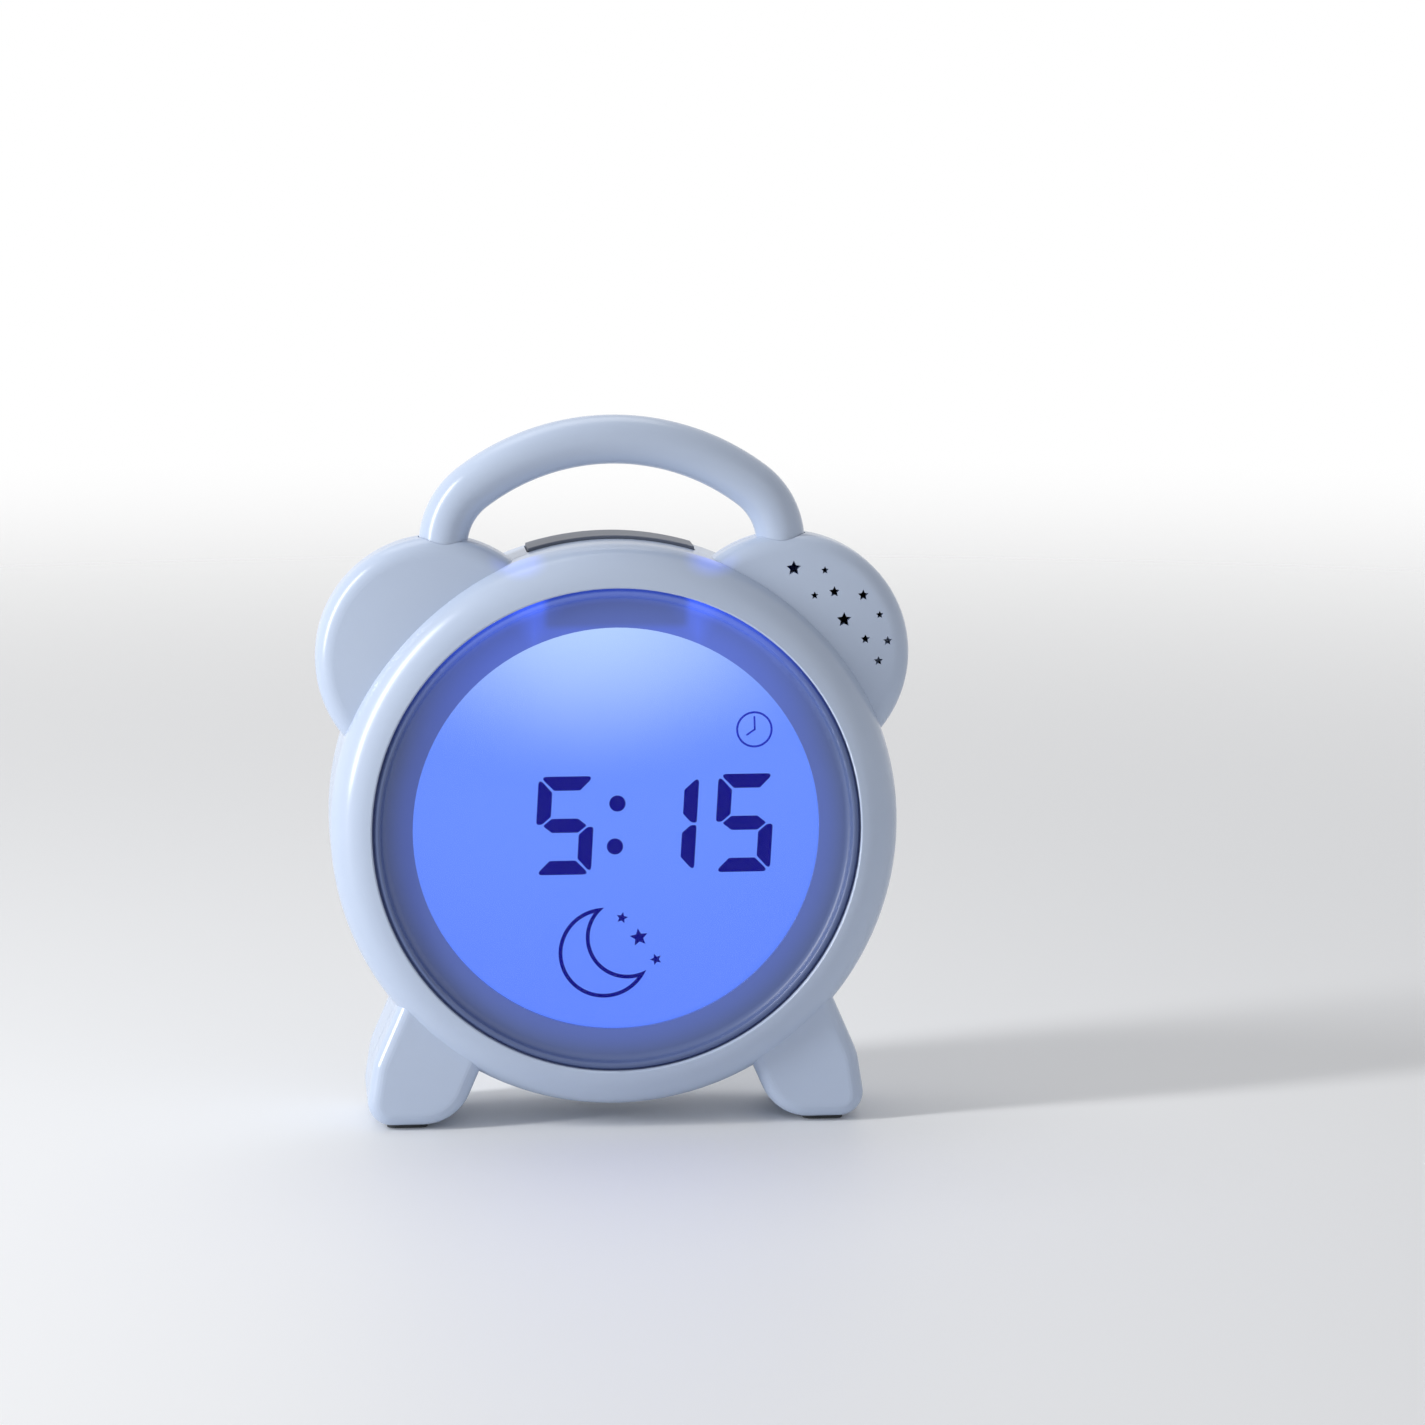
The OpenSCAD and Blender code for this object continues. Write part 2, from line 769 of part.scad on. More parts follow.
module inner_bezel() {
    flange_front = front_reach - wall - 0.1;
    seat_r = lens_r + pocket_gap;
    cove_centre_r = crest_in_r - cove_r;
    cove_foot = bezel_edge_front + bezel_slope * (cove_centre_r - screen_r);
    color("#dfe5ee") on_dial() {
        rotate_extrude($fn = 180) difference() {
            polygon([
                [screen_r, lens_front], [screen_r, bezel_edge_front], [cove_centre_r, cove_foot],
                [cove_centre_r, crest_front - crest_r], [bezel_r, crest_front - crest_r],
                [bezel_r, flange_front], [bezel_flange_r, flange_front],
                [bezel_flange_r, bezel_back], [seat_r + 1.6, bezel_back],
                [seat_r + 1.6, lens_back], [seat_r, lens_back], [seat_r, lens_front]]);
            translate([cove_centre_r, crest_front - crest_r]) circle(cove_r, $fn = 64);
        }
        rotate_extrude($fn = 180) translate([bezel_r - crest_r, crest_front - crest_r])
            circle(crest_r, $fn = 48);
    }
}

module lens() {
    color([0.85, 0.92, 1, 0.25]) on_dial() rod(lens_r, lens_back, lens_front);
}

module lcd_glass_front() {
    color([0.45, 0.58, 1]) on_dial() octagon(lcd_across, lcd_front - glass_t, lcd_front);
}

// Back sheet, shorter than the front sheet at the bottom where the contacts lie
module lcd_glass_back() {
    contact_shelf = 1.9;
    color([0.42, 0.55, 1]) on_dial() intersection() {
        octagon(lcd_across, lcd_back, lcd_front - glass_t - lcd_gap);
        slab(far, contact_shelf - lcd_across / 2, far, -far, far);
    }
}

module light_guide() {
    color([0.9, 0.94, 1]) on_dial() octagon(guide_across, guide_back, guide_front);
}

frame_screw_r = 1;
frame_screw_ring = board_r - 3;
frame_screw_len = 5;
led_spots = [-14, -7, 0, 7, 14];
led_w = 3.5;
led_drop = 1.9;
led_z = (guide_front + guide_back) / 2;
zebra_half_w = 20;
zebra_t = 1.5;
zebra_low = -lcd_across / 2 + 0.15;
light_board_half_w = 23;
light_board_front = guide_front + 3;
light_board_back = bar_mid_z - 4.5;
arm_x = 19;
arm_half_w = 1.2;
light_screw_len = 4;

module at_board_screws() {
    for (a = [45:90:315]) rotate([0, 0, a]) translate([frame_screw_ring, 0, 0]) children();
}

// Moulded frame: pockets for the glass and the light guide, a lip behind them, four lugs
// to the front moulding and two arms under the light board
module display_frame() {
    color("#f2f3f0") on_dial() difference() {
        union() {
            display_ring();
            display_lugs();
            both_sides() translate([arm_x, 0, 0]) {
                slab(arm_half_w, frame_top_up - 3, frame_top_up, light_board_back, led_z);
                slab(2 * arm_half_w, frame_top_up - light_screw_len - 1, frame_top_up,
                    board_front, led_z + 2 * arm_half_w);
            }
        }
        both_sides() translate([arm_x, frame_top_up - light_screw_len - 0.5, led_z])
            rotate([-90, 0, 0]) cylinder(r = frame_screw_r + hole_gap, h = far);
    }
}

module display_ring() {
    frame_front = bezel_back - 0.1;
    difference() {
        rod(frame_r, board_front, frame_front);
        rod(lens_r + pocket_gap + 1.8, lcd_front, far);
        octagon(lcd_across + 2 * pocket_gap, lcd_back, far);
        octagon(guide_across + 2 * pocket_gap, guide_back, far);
        rod(guide_across / 2 - 3, -far, far);
        slab(far, frame_top_up, far, -far, far);
        slab(zebra_half_w + pocket_gap, zebra_low - pocket_gap, zebra_low + zebra_t + pocket_gap,
            -far, lcd_back + eps);
        for (x = led_spots) translate([x, 0, 0])
            slab(led_w / 2 + pocket_gap, guide_across / 2 - 1, far, led_z - 1.8, led_z + 1.8);
        at_board_screws() rod(frame_screw_r + hole_gap, -far, board_front + 5);
    }
}

module display_lugs() {
    at_lugs() difference() {
        union() {
            translate([boss_ring_r, 0, 0]) rod(boss_r, lug_back, lug_back + lug_t);
            translate([frame_r - 2, -boss_r, lug_back])
                cube([boss_ring_r - frame_r + 2, 2 * boss_r, lug_t]);
        }
        translate([boss_ring_r, 0, 0]) rod(frame_screw_r + 0.2, -far, far);
    }
}

module zebra_strip() {
    color("#3a3a40") on_dial()
        slab(zebra_half_w, zebra_low, zebra_low + zebra_t, board_front + 0.02,
            lcd_front - glass_t - 0.02);
}

// ---- electronics ----

board_flat_up = board_r - 4.5;

module main_board() {
    color("#1f6b3c") on_dial() difference() {
        rod(board_r, board_back, board_front);
        at_board_screws() rod(frame_screw_r + 0.2, -far, far);
        slab(far, board_flat_up, far, -far, far);
    }
}

// Drop of epoxy over the controller die
module controller_chip() {
    blob_r = 9;
    blob_h = 1.8;
    sphere_r = (pow(blob_r, 2) + pow(blob_h, 2)) / (2 * blob_h);
    color("#1a1a1c") on_dial() translate([-14, 18, board_back]) intersection() {
        translate([0, 0, sphere_r - blob_h]) sphere(sphere_r, $fn = 128);
        rod(blob_r, -blob_h - 1, 0);
    }
}

// Watch crystal lying on the board, with its two leads
module crystal() {
    color("#c9cdd2") on_dial() translate([4, 26, board_back - 1.1]) {
        rotate([0, 90, 0]) cylinder(r = 1.05, h = 6, $fn = 32);
        for (y = [-0.5, 0.5]) translate([-2, y, 0]) rotate([0, 90, 0])
            cylinder(r = 0.25, h = 2.2, $fn = 24);
        for (y = [-0.5, 0.5]) translate([-2, y, 0]) cylinder(r = 0.25, h = 1.1, $fn = 24);
    }
}

module capacitors() {
    can_r = 2.5;
    can_h = 7;
    color("#2b3550") on_dial() for (p = [[22, 22], [30, 22], [26, 14.5 - board_r]])
        translate([p[0], p[1], board_back - can_h]) rotate_extrude($fn = 48) {
            square([can_r - 0.5, can_h]);
            translate([0, 0.5]) square([can_r, can_h - 0.5]);
            translate([can_r - 0.5, 0.5]) circle(0.5);
        }
}

module frame_screws() {
    color("#b9bdc2") on_dial() {
        at_board_screws() translate([0, 0, board_back]) pan_screw(frame_screw_r, frame_screw_len);
        at_lugs() translate([boss_ring_r, 0, lug_back]) pan_screw(frame_screw_r, frame_screw_len);
        both_sides() translate([arm_x, frame_top_up + light_board_t, led_z])
            rotate([90, 0, 0]) pan_screw(frame_screw_r, light_screw_len + light_board_t);
        for (p = post_spots) translate([p[0], p[1], key_board_front])
            behind() pan_screw(post_screw_r, 5);
    }
}

module light_board() {
    color("#1f6b3c") on_dial() difference() {
        slab(light_board_half_w, frame_top_up, frame_top_up + light_board_t, light_board_back,
            light_board_front);
        both_sides() translate([arm_x, 0, led_z]) rotate([-90, 0, 0])
            cylinder(r = frame_screw_r + 0.2, h = far);
    }
}

// Side-lit lamps that shine down into the top edge of the light guide
module blue_leds() {
    lens_w = 2.4;
    color("#8fb4ff") on_dial() for (x = led_spots) translate([x, 0, led_z]) {
        slab(led_w / 2, frame_top_up - led_drop, frame_top_up, -1.4, 1.4);
        translate([0, frame_top_up - led_drop + eps, 0]) rotate([90, 0, 0])
            cylinder(r1 = lens_w / 2, r2 = lens_w / 2 - 0.3, h = 0.7, $fn = 32);
    }
}

// Square push switch with a round stem, standing on its board and pointing up
module tact_switch(body_h, stem_h) {
    side = 6;
    translate([-side / 2, -side / 2, 0]) cube([side, side, body_h]);
    cylinder(r = 1.7, h = body_h + stem_h, $fn = 32);
    for (x = [-1, 1], y = [-1, 1]) translate([x * side / 2, y * 2.2 - 0.35, 0])
        translate([x > 0 ? 0 : -0.6, 0, 0]) cube([0.6, 0.7, 0.8]);
}

module bar_switch() {
    reach = bar_flange_top_r - bar_flange_t - bar_travel - button_clear
        - frame_top_up - light_board_t;
    color("#2a2c30") on_dial() translate([0, frame_top_up + light_board_t, bar_mid_z])
        rotate([-90, 0, 0]) tact_switch(reach - 1, 1);
}

// Curved push bar: a cap through the window and a wider flange behind the wall
module push_bar() {
    edge = 0.7;
    margin = 1.3;
    top_r = case_r + bar_proud;
    back = -(bar_start + bar_depth);
    color("#8e949e") on_dial() {
        intersection() {
            rotate_extrude(angle = 60, start = 60, $fn = 180) {
                translate([lip_r, back]) square([top_r - edge - lip_r, bar_depth]);
                translate([lip_r, back + edge]) square([top_r - lip_r, bar_depth - 2 * edge]);
                for (z = [back + edge, back + bar_depth - edge])
                    translate([top_r - edge, z]) circle(edge, $fn = 32);
            }
            slab(bar_half_w, 0, far, -far, far);
            difference() {
                rod(far, -far, far);
                rod(bar_flange_top_r - bar_flange_t + eps, -2 * far, 2 * far);
            }
        }
        intersection() {
            rotate_extrude(angle = 60, start = 60, $fn = 180)
                translate([bar_flange_top_r - bar_flange_t, back - margin])
                    square([bar_flange_t, bar_depth + 2 * margin]);
            slab(bar_half_w + margin, 0, far, -far, far);
        }
    }
}

module key_board_outline() {
    side_margin = 12;
    low_margin = 9.5;
    top_margin = 6.5;
    intersection() {
        translate([key_x - side_margin, key_up - low_margin])
            square([jack_x - key_x + 2 * side_margin, slider_rise + low_margin + top_margin]);
        circle(lip_r);
    }
}

module key_board() {
    color("#1f6b3c") on_dial() difference() {
        translate([0, 0, key_board_back]) linear_extrude(board_t) key_board_outline();
        translate([jack_x, key_up, 0]) rod(jack_body_r + 0.2, -far, far);
        for (p = post_spots) translate([p[0], p[1], 0]) rod(post_screw_r + 0.2, -far, far);
    }
}

module key_switches() {
    color("#2a2c30") on_dial() for (i = [0:key_count - 1])
        translate([key_at(i), key_up, key_board_back]) behind() tact_switch(tact_body, tact_stem);
}

slider_base_t = 1.2;
slider_pin_r = 0.9;

// Slide switch: a small can with a slot for the knob's pin
module slide_switch() {
    top = -key_board_back;
    height = -(back_inner + button_clear + slider_base_t) - top - 0.6;
    color("#9aa0a8") on_dial() translate([slider_x, slider_up, 0]) behind() difference() {
        slab(6, -2.6, 2.6, top, top + height);
        slab(slider_pin_r + slider_half_travel + 0.4, -slider_pin_r - 0.4, slider_pin_r + 0.4,
            top + 0.8, far);
    }
}

// Thumb knob, shown at the left end of its travel
module slider_knob() {
    base_back = back_inner + button_clear;
    half_base = slider_nub_w / 2 + 2 * slider_half_travel + 1;
    color("#8e949e") on_dial() translate([slider_x - slider_half_travel, slider_up, 0]) {
        slab(half_base, -3, 3, base_back, base_back + slider_base_t);
        difference() {
            slab(slider_nub_w / 2, -1.5, 1.5, -(back_reach + key_proud), base_back + eps);
            for (x = [-1.5:1:1.5]) translate([x, 0, 0])
                slab(0.2, -2, 2, -far, -(back_reach + key_proud) + 0.4);
        }
        rod(slider_pin_r, base_back + slider_base_t - eps, base_back + slider_base_t + 1.8);
    }
}

// Rear button: a round cap with a soft edge, a flange inside the wall and a stem
module key_button(i) {
    soft = 0.6;
    cap_back = back_reach + key_proud;
    on_dial() translate([key_at(i), key_up, 0]) rotate_extrude($fn = 64) {
        translate([0, -cap_back]) square([key_r - soft, cap_back + key_flange_back + eps]);
        translate([0, soft - cap_back]) square([key_r, cap_back - soft + key_flange_back + eps]);
        translate([key_r - soft, soft - cap_back]) circle(soft, $fn = 32);
        translate([0, key_flange_back]) square([key_flange_r, key_flange_t]);
        translate([0, key_flange_back]) square([1.8, key_stem_end - key_flange_back]);
    }
}

module mode_button() {
    color("#8e949e") key_button(0);
}

module hour_button() {
    color("#8e949e") key_button(1);
}

module minute_button() {
    color("#8e949e") key_button(2);
}

module alarm_button() {
    color("#8e949e") key_button(3);
}

jack_front = -17;
jack_mouth = -(back_reach - 0.3);
jack_depth = 9;
jack_fit = 0.02;
jack_shank_r = jack_pin_r - 0.2;
jack_neck = 0.3;

module dc_jack() {
    color("#232427") on_dial() translate([jack_x, key_up, 0]) difference() {
        union() {
            rod(jack_body_r, jack_mouth, jack_front);
            slab(5.2, -5.2, 5.2, key_board_back - 4.5, key_board_back - 0.02);
        }
        rod(jack_bore_r, -far, jack_mouth + jack_depth);
        rod(jack_shank_r + jack_fit, -far, far);
    }
}

// Centre pin: a full free end in the bore and a thinner shank held in the body's floor
module jack_pin() {
    color("#c9cdd2") on_dial() translate([jack_x, key_up, 0]) {
        rod(jack_pin_r, jack_mouth + 1, jack_mouth + jack_depth - jack_neck);
        rod(jack_shank_r, jack_mouth + 2, jack_front);
    }
}

// ---- speaker ----

module at_speaker() {
    translate([speaker_x, speaker_up, speaker_front]) children();
}

magnet_r = 7;
magnet_t = 3;

// Pressed steel basket: flat rim and a cone with windows
module speaker_frame() {
    cone_back = speaker_rim_t + 2.6;
    inner_r = speaker_r - 1.6;
    color("#9aa0a8") on_dial() at_speaker() difference() {
        rotate_extrude($fn = 96) polygon([
            [inner_r, 0], [speaker_r, 0], [speaker_r, -speaker_rim_t],
            [speaker_r - 0.8, -speaker_rim_t], [magnet_r, -cone_back], [0, -cone_back],
            [0, 0.8 - cone_back], [magnet_r - 0.8, 0.8 - cone_back], [inner_r, -speaker_rim_t]]);
        for (a = [45:90:315]) rotate([0, 0, a]) translate([magnet_r + 1.6, -2, -far])
            cube([2, 4, far - speaker_rim_t]);
        rod(2.6, -far, far);
    }
}

// Paper cone with a rolled surround and a dust cap
module speaker_cone() {
    edge = speaker_r - 1.8;
    color("#2d2d30") on_dial() at_speaker() {
        rotate_extrude($fn = 96) polygon([[edge, -0.2], [edge, -0.6], [edge - 1.2, -0.6],
            [3, -2.4], [2.4, -3.2], [1.8, -3.2], [2.6, -1.9], [edge - 1.2, -0.2]]);
        rotate_extrude($fn = 96) intersection() {
            translate([0, -4.7]) circle(4.2, $fn = 96);
            translate([0, -2.7]) square([3.2, 2.4]);
        }
    }
}

module speaker_magnet() {
    cone_back = speaker_rim_t + 2.6;
    color("#4a4d52") on_dial() at_speaker() rotate_extrude($fn = 64) {
        translate([0, -speaker_depth]) square([magnet_r, speaker_depth - cone_back - 0.02]);
    }
}

// ---- battery bay ----

// AA cell lying along x with its button towards +x
module cell() {
    button_r = 2.75;
    button_h = 1.2;
    soft = 0.8;
    translate([-cell_len / 2, 0, 0]) rotate([0, 90, 0]) rotate_extrude($fn = 64) {
        translate([0, soft]) square([cell_r, cell_len - button_h - 2 * soft]);
        square([cell_r - soft, cell_len - button_h]);
        for (y = [soft, cell_len - button_h - soft]) translate([cell_r - soft, y])
            circle(soft, $fn = 32);
        square([button_r, cell_len]);
    }
}

cell_rows = [-1, 0, 1];
plate_t = 0.4;
plate_side = 10;
nub_gap = 0.1;
cell_shift = bay_len / 2 - plate_t - nub_gap - cell_len / 2;

// The middle cell points the other way
module at_cell(n) {
    translate([0, bay_up + n * cell_pitch, cell_z]) mirror([n == 0 ? 1 : 0, 0, 0]) children();
}

module batteries() {
    color("#3f6f8f") on_dial() for (n = cell_rows) at_cell(n) translate([cell_shift, 0, 0]) cell();
}

module contact_plates() {
    color("#c9cdd2") on_dial() for (n = cell_rows, x = [-1, 1])
        translate([x * (bay_len / 2 - plate_t / 2 - 0.02), bay_up + n * cell_pitch, cell_z])
            cube([plate_t, plate_side, plate_side], center = true);
}

// Coil spring: an octagonal wire swept along a narrowing helix
spring_gap = bay_len / 2 - plate_t + cell_shift - cell_len / 2;
spring_turns = 4;
spring_steps = 20;
spring_sides = 6;
wire_r = 0.35;
function spring_point(t) = let (r = 4.6 - 1.6 * t, a = 360 * spring_turns * t)
    [wire_r + 0.05 + t * (spring_gap - 2 * wire_r - 0.1), r * cos(a), r * sin(a)];
function ring_point(t, k) = let (r = 4.6 - 1.6 * t, a = 360 * spring_turns * t,
    b = 360 * k / spring_sides) spring_point(t)
    + wire_r * [sin(b), cos(b) * cos(a), cos(b) * sin(a)];

module spring() {
    rings = spring_turns * spring_steps;
    points = [for (i = [0:rings], k = [0:spring_sides - 1]) ring_point(i / rings, k)];
    walls = [for (i = [0:rings - 1], k = [0:spring_sides - 1])
        let (next = (k + 1) % spring_sides)
        [i * spring_sides + k, (i + 1) * spring_sides + k, (i + 1) * spring_sides + next,
            i * spring_sides + next]];
    polyhedron(points, concat(walls, [
        [for (k = [0:spring_sides - 1]) k],
        [for (k = [spring_sides - 1:-1:0]) rings * spring_sides + k]]));
}

module contact_springs() {
    color("#c9cdd2") on_dial() for (n = cell_rows) at_cell(n)
        translate([-bay_len / 2 + plate_t + 0.02, 0, 0]) spring();
}

module battery_door() {
    rib_reach = 1.2;
    grip_up = door_high - 6;
    tongue_bore = 1.9;
    color("#e4e8ee") on_dial() {
        difference() {
            union() {
                translate([0, 0, -back_reach]) linear_extrude(door_t) door_outline(0);
                for (n = [-1, 1]) translate([0, bay_up + n * cell_pitch / 2, 0])
                    slab(bay_len / 2 - 6, -0.6, 0.6, door_inner - eps, door_inner + rib_reach);
            }
            for (i = [0:4]) translate([0, grip_up - 2.4 * i, 0])
                slab(9, -0.5, 0.5, -far, -back_reach + 0.5);
            translate([0, tongue_up, 0]) {
                rod(tongue_bore, -far, far);
                rod(door_screw_r * 2 + 0.3, -far, -back_reach + 1.2);
            }
        }
        for (x = [-tab_x, tab_x]) translate([x, 0, 0])
            slab(tab_half_w, door_low - tab_reach, door_low + door_ledge + 1.5,
                back_inner + 0.15, back_inner + 0.15 + tab_t);
        for (x = [-tab_x, tab_x]) translate([x, 0, 0])
            slab(tab_half_w, door_low + 0.4, door_low + door_ledge + 1.5, door_inner - eps,
                back_inner + 0.15 + tab_t);
    }
}

module door_screw() {
    color("#b9bdc2") on_dial() translate([0, tongue_up, -back_reach + 1.2])
        pan_screw(door_screw_r, 7);
}

// ---- fastenings and feet ----

module housing_screws() {
    color("#b9bdc2") on_dial() at_screws()
        translate([boss_ring_r, 0, -screw_seat]) pan_screw(screw_r, screw_len);
}

module foot_pads() {
    inset = foot_edge_r + 0.5;
    color("#33363b") on_dial() both_sides()
        translate([(toe_x + heel_x) / 2, floor_up - pad_t, 0]) rotate([-90, 0, 0])
            linear_extrude(pad_t) translate([0, (foot_back - foot_front) / 2])
                round_rect(pad_w, -(foot_front + foot_back) / 2 + inset,
                    (foot_front + foot_back) / 2 - inset, 2);
}

// Flat cable from the main board back to the key board, with a soft bend at each end of its drop
module ribbon_cable() {
    cable_w = 12;
    cable_t = 0.8;
    bend_r = 2.4;
    start_up = board_flat_up - 9;
    end_up = start_up - 8;
    drop_z = board_back - 2 * bend_r - 2;
    color("#d8d8d2") on_dial() translate([-cable_w / 2, 0, 0]) rotate([0, 90, 0])
        mirror([1, 0, 0]) linear_extrude(cable_w) {
            translate([drop_z + bend_r, start_up]) square([board_back - drop_z - bend_r, cable_t]);
            translate([drop_z + bend_r, start_up + cable_t - bend_r])
                cable_bend(bend_r, cable_t, 90);
            translate([drop_z, end_up + bend_r])
                square([cable_t, start_up - end_up + cable_t - 2 * bend_r]);
            translate([drop_z + cable_t - bend_r, end_up + bend_r])
                cable_bend(bend_r, cable_t, 270);
            translate([key_board_front, end_up])
                square([drop_z + cable_t - bend_r - key_board_front, cable_t]);
        }
}

// Quarter turn of a flat cable, seen edge on
module cable_bend(outer_r, thickness, from) {
    rotate(from) intersection() {
        difference() {
            circle(outer_r, $fn = 64);
            circle(outer_r - thickness, $fn = 64);
        }
        square(outer_r + 1);
    }
}

front_shell();
rear_shell();
carry_handle();
inner_bezel();
lens();
lcd_glass_front();
lcd_glass_back();
light_guide();
display_frame();
zebra_strip();
main_board();
controller_chip();
crystal();
capacitors();
frame_screws();
light_board();
blue_leds();
bar_switch();
push_bar();
key_board();
key_switches();
slide_switch();
slider_knob();
mode_button();
hour_button();
minute_button();
alarm_button();
dc_jack();
jack_pin();
speaker_frame();
speaker_cone();
speaker_magnet();
batteries();
contact_springs();
contact_plates();
battery_door();
door_screw();
housing_screws();
foot_pads();
ribbon_cable();
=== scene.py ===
"""Looks of a bedside alarm clock with a glowing dial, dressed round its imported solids.

Lengths are metres in the clock's own frame: z up from the table, -y towards the reader.
Places on the dial are millimetres from the drum's centre, x to the right and y up.
"""

import json
import logging
import math
from dataclasses import dataclass, field
from enum import Enum
from functools import cache
from typing import Callable, Iterable, Sequence

import bpy
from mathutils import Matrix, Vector


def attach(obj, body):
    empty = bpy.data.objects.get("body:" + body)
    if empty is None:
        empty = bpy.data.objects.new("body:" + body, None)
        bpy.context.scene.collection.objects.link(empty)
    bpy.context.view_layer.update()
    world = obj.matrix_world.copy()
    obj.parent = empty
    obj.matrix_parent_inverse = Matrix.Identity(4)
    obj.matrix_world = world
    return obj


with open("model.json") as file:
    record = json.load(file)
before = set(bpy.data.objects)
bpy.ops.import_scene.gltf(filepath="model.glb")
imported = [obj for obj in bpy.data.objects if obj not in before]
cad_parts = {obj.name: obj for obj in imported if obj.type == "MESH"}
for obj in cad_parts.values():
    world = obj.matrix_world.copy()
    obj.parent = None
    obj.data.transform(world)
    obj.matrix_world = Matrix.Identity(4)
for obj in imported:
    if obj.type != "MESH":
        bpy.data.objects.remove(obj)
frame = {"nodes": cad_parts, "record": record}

Colour = tuple[float, float, float, float]
Spot = tuple[float, float]
Piece = bpy.types.Object
Socket = bpy.types.NodeSocket
Tree = bpy.types.NodeTree

MM = 0.001
PARTING_Y = -0.007  # the plane where the two shells meet
DRUM_UP = 0.075  # height of the drum's centre
UPRIGHT = 0.9  # an edge counts as upright where its direction has more z than this
TOOL_DEPTH = 4.0  # how often the film's thickness goes into a cutting figure's
SMOOTH_BELOW = 30.0  # edges flatter than this many degrees are shaded smooth
DULL = 0.05  # specular level of what lies behind the lens
BLACK = (0.0, 0.0, 0.0, 1.0)
LOG = logging.getLogger("alarm_clock")


def tone(red: int, green: int, blue: int) -> Colour:
    """Turns a display colour into the linear colour that shaders take.

    Args:
        red, green, blue: Steps from 0 to 255 as a screen shows them.

    Returns:
        The same colour, linear, with full alpha.
    """

    def linear(step: int) -> float:
        """Undoes the screen's curve for one channel."""
        value = step / 255.0
        return value / 12.92 if value <= 0.04045 else ((value + 0.055) / 1.055) ** 2.4

    return (linear(red), linear(green), linear(blue), 1.0)


# ------------------------ modelling bench


class Pick(Enum):
    """What is selected on a mesh, in the order of edit mode's three switches."""

    VERTEX = 0
    EDGE = 1
    FACE = 2


def clear_selection() -> None:
    """Leaves edit mode and deselects every object."""
    if bpy.context.object and bpy.context.object.mode != "OBJECT":
        bpy.ops.object.mode_set(mode="OBJECT")
    bpy.ops.object.select_all(action="DESELECT")


def choose(piece: Piece) -> None:
    """Selects one piece alone and makes it the active one."""
    clear_selection()
    piece.select_set(True)
    bpy.context.view_layer.objects.active = piece


def settle(piece: Piece) -> Piece:
    """Writes a piece's place, turn and size into its mesh and returns the piece."""
    choose(piece)
    bpy.ops.object.transform_apply(location=True, rotation=True, scale=True)
    return piece


def named(name: str) -> Piece:
    """Names the active piece and returns it."""
    piece = bpy.context.object
    piece.name = name
    piece.data.name = name
    return piece


def block(name: str, size: Sequence[float], place: Sequence[float] = (0, 0, 0)) -> Piece:
    """Adds a rectangular block.

    Args:
        name: Name of the piece.
        size: Full size along x, y and z.
        place: Centre of the block.

    Returns:
        The block, with its size and place in its mesh.
    """
    clear_selection()
    bpy.ops.mesh.primitive_cube_add(size=1, location=place)
    piece = named(name)
    piece.scale = size
    return settle(piece)


def disc(name: str, radius: float, depth: float, place: Sequence[float], sides: int) -> Piece:
    """Adds a round disc lying in the x-y plane.

    Args:
        name: Name of the piece.
        radius: Radius of the disc.
        depth: Thickness along z.
        place: Centre of the disc.
        sides: Number of sides of the circle.

    Returns:
        The disc, with its place in its mesh.
    """
    clear_selection()
    bpy.ops.mesh.primitive_cylinder_add(
        vertices=sides, radius=radius, depth=depth, location=place
    )
    return settle(named(name))


def pick(piece: Piece, kind: Pick, test: Callable[[Vector, Vector], bool]) -> bool:
    """Selects vertices, edges or faces by their place, and stays in edit mode.

    Args:
        piece: The mesh to select on.
        kind: What to select.
        test: Called with the middle and the direction or normal of each.

    Returns:
        True if any was selected.
    """
    choose(piece)
    mesh = piece.data
    for part in (*mesh.vertices, *mesh.edges, *mesh.polygons):
        part.select = False
    if kind is Pick.VERTEX:
        rows = [(part, part.co, part.normal) for part in mesh.vertices]
    elif kind is Pick.EDGE:
        ends = [[mesh.vertices[i].co for i in part.vertices] for part in mesh.edges]
        rows = [(part, (a + b) / 2, (b - a).normalized())
                for part, (a, b) in zip(mesh.edges, ends)]
    else:
        rows = [(part, part.center, part.normal) for part in mesh.polygons]
    for part, middle, way in rows:
        part.select = test(middle, way)
    found = any(part.select for part, _, _ in rows)
    bpy.context.tool_settings.mesh_select_mode = [kind is each for each in Pick]
    bpy.ops.object.mode_set(mode="EDIT")
    return found


def cut_away(piece: Piece, point: Sequence[float], normal: Sequence[float]) -> None:
    """Cuts off what lies beyond a plane and closes the cut.

    Args:
        piece: The mesh to cut.
        point: A point of the plane, in the mesh's own coordinates.
        normal: Points towards the side that goes.
    """
    pick(piece, Pick.FACE, lambda middle, way: True)
    bpy.ops.mesh.bisect(plane_co=point, plane_no=normal, use_fill=True, clear_outer=True)
    bpy.ops.object.mode_set(mode="OBJECT")


def round_corners(
    piece: Piece, width: float, steps: int, test: Callable[[Vector], bool] = lambda middle: True
) -> None:
    """Rounds corners of a flat figure, which are its edges along z.

    Args:
        piece: The mesh to work on.
        width: How far the rounding reaches from the corner.
        steps: Number of facets across it.
        test: Chooses corners by their middle.
    """
    if pick(piece, Pick.EDGE, lambda middle, way: abs(way.z) > UPRIGHT and test(middle)):
        bpy.ops.mesh.bevel(offset=width, segments=steps, affect="EDGES")
    bpy.ops.object.mode_set(mode="OBJECT")


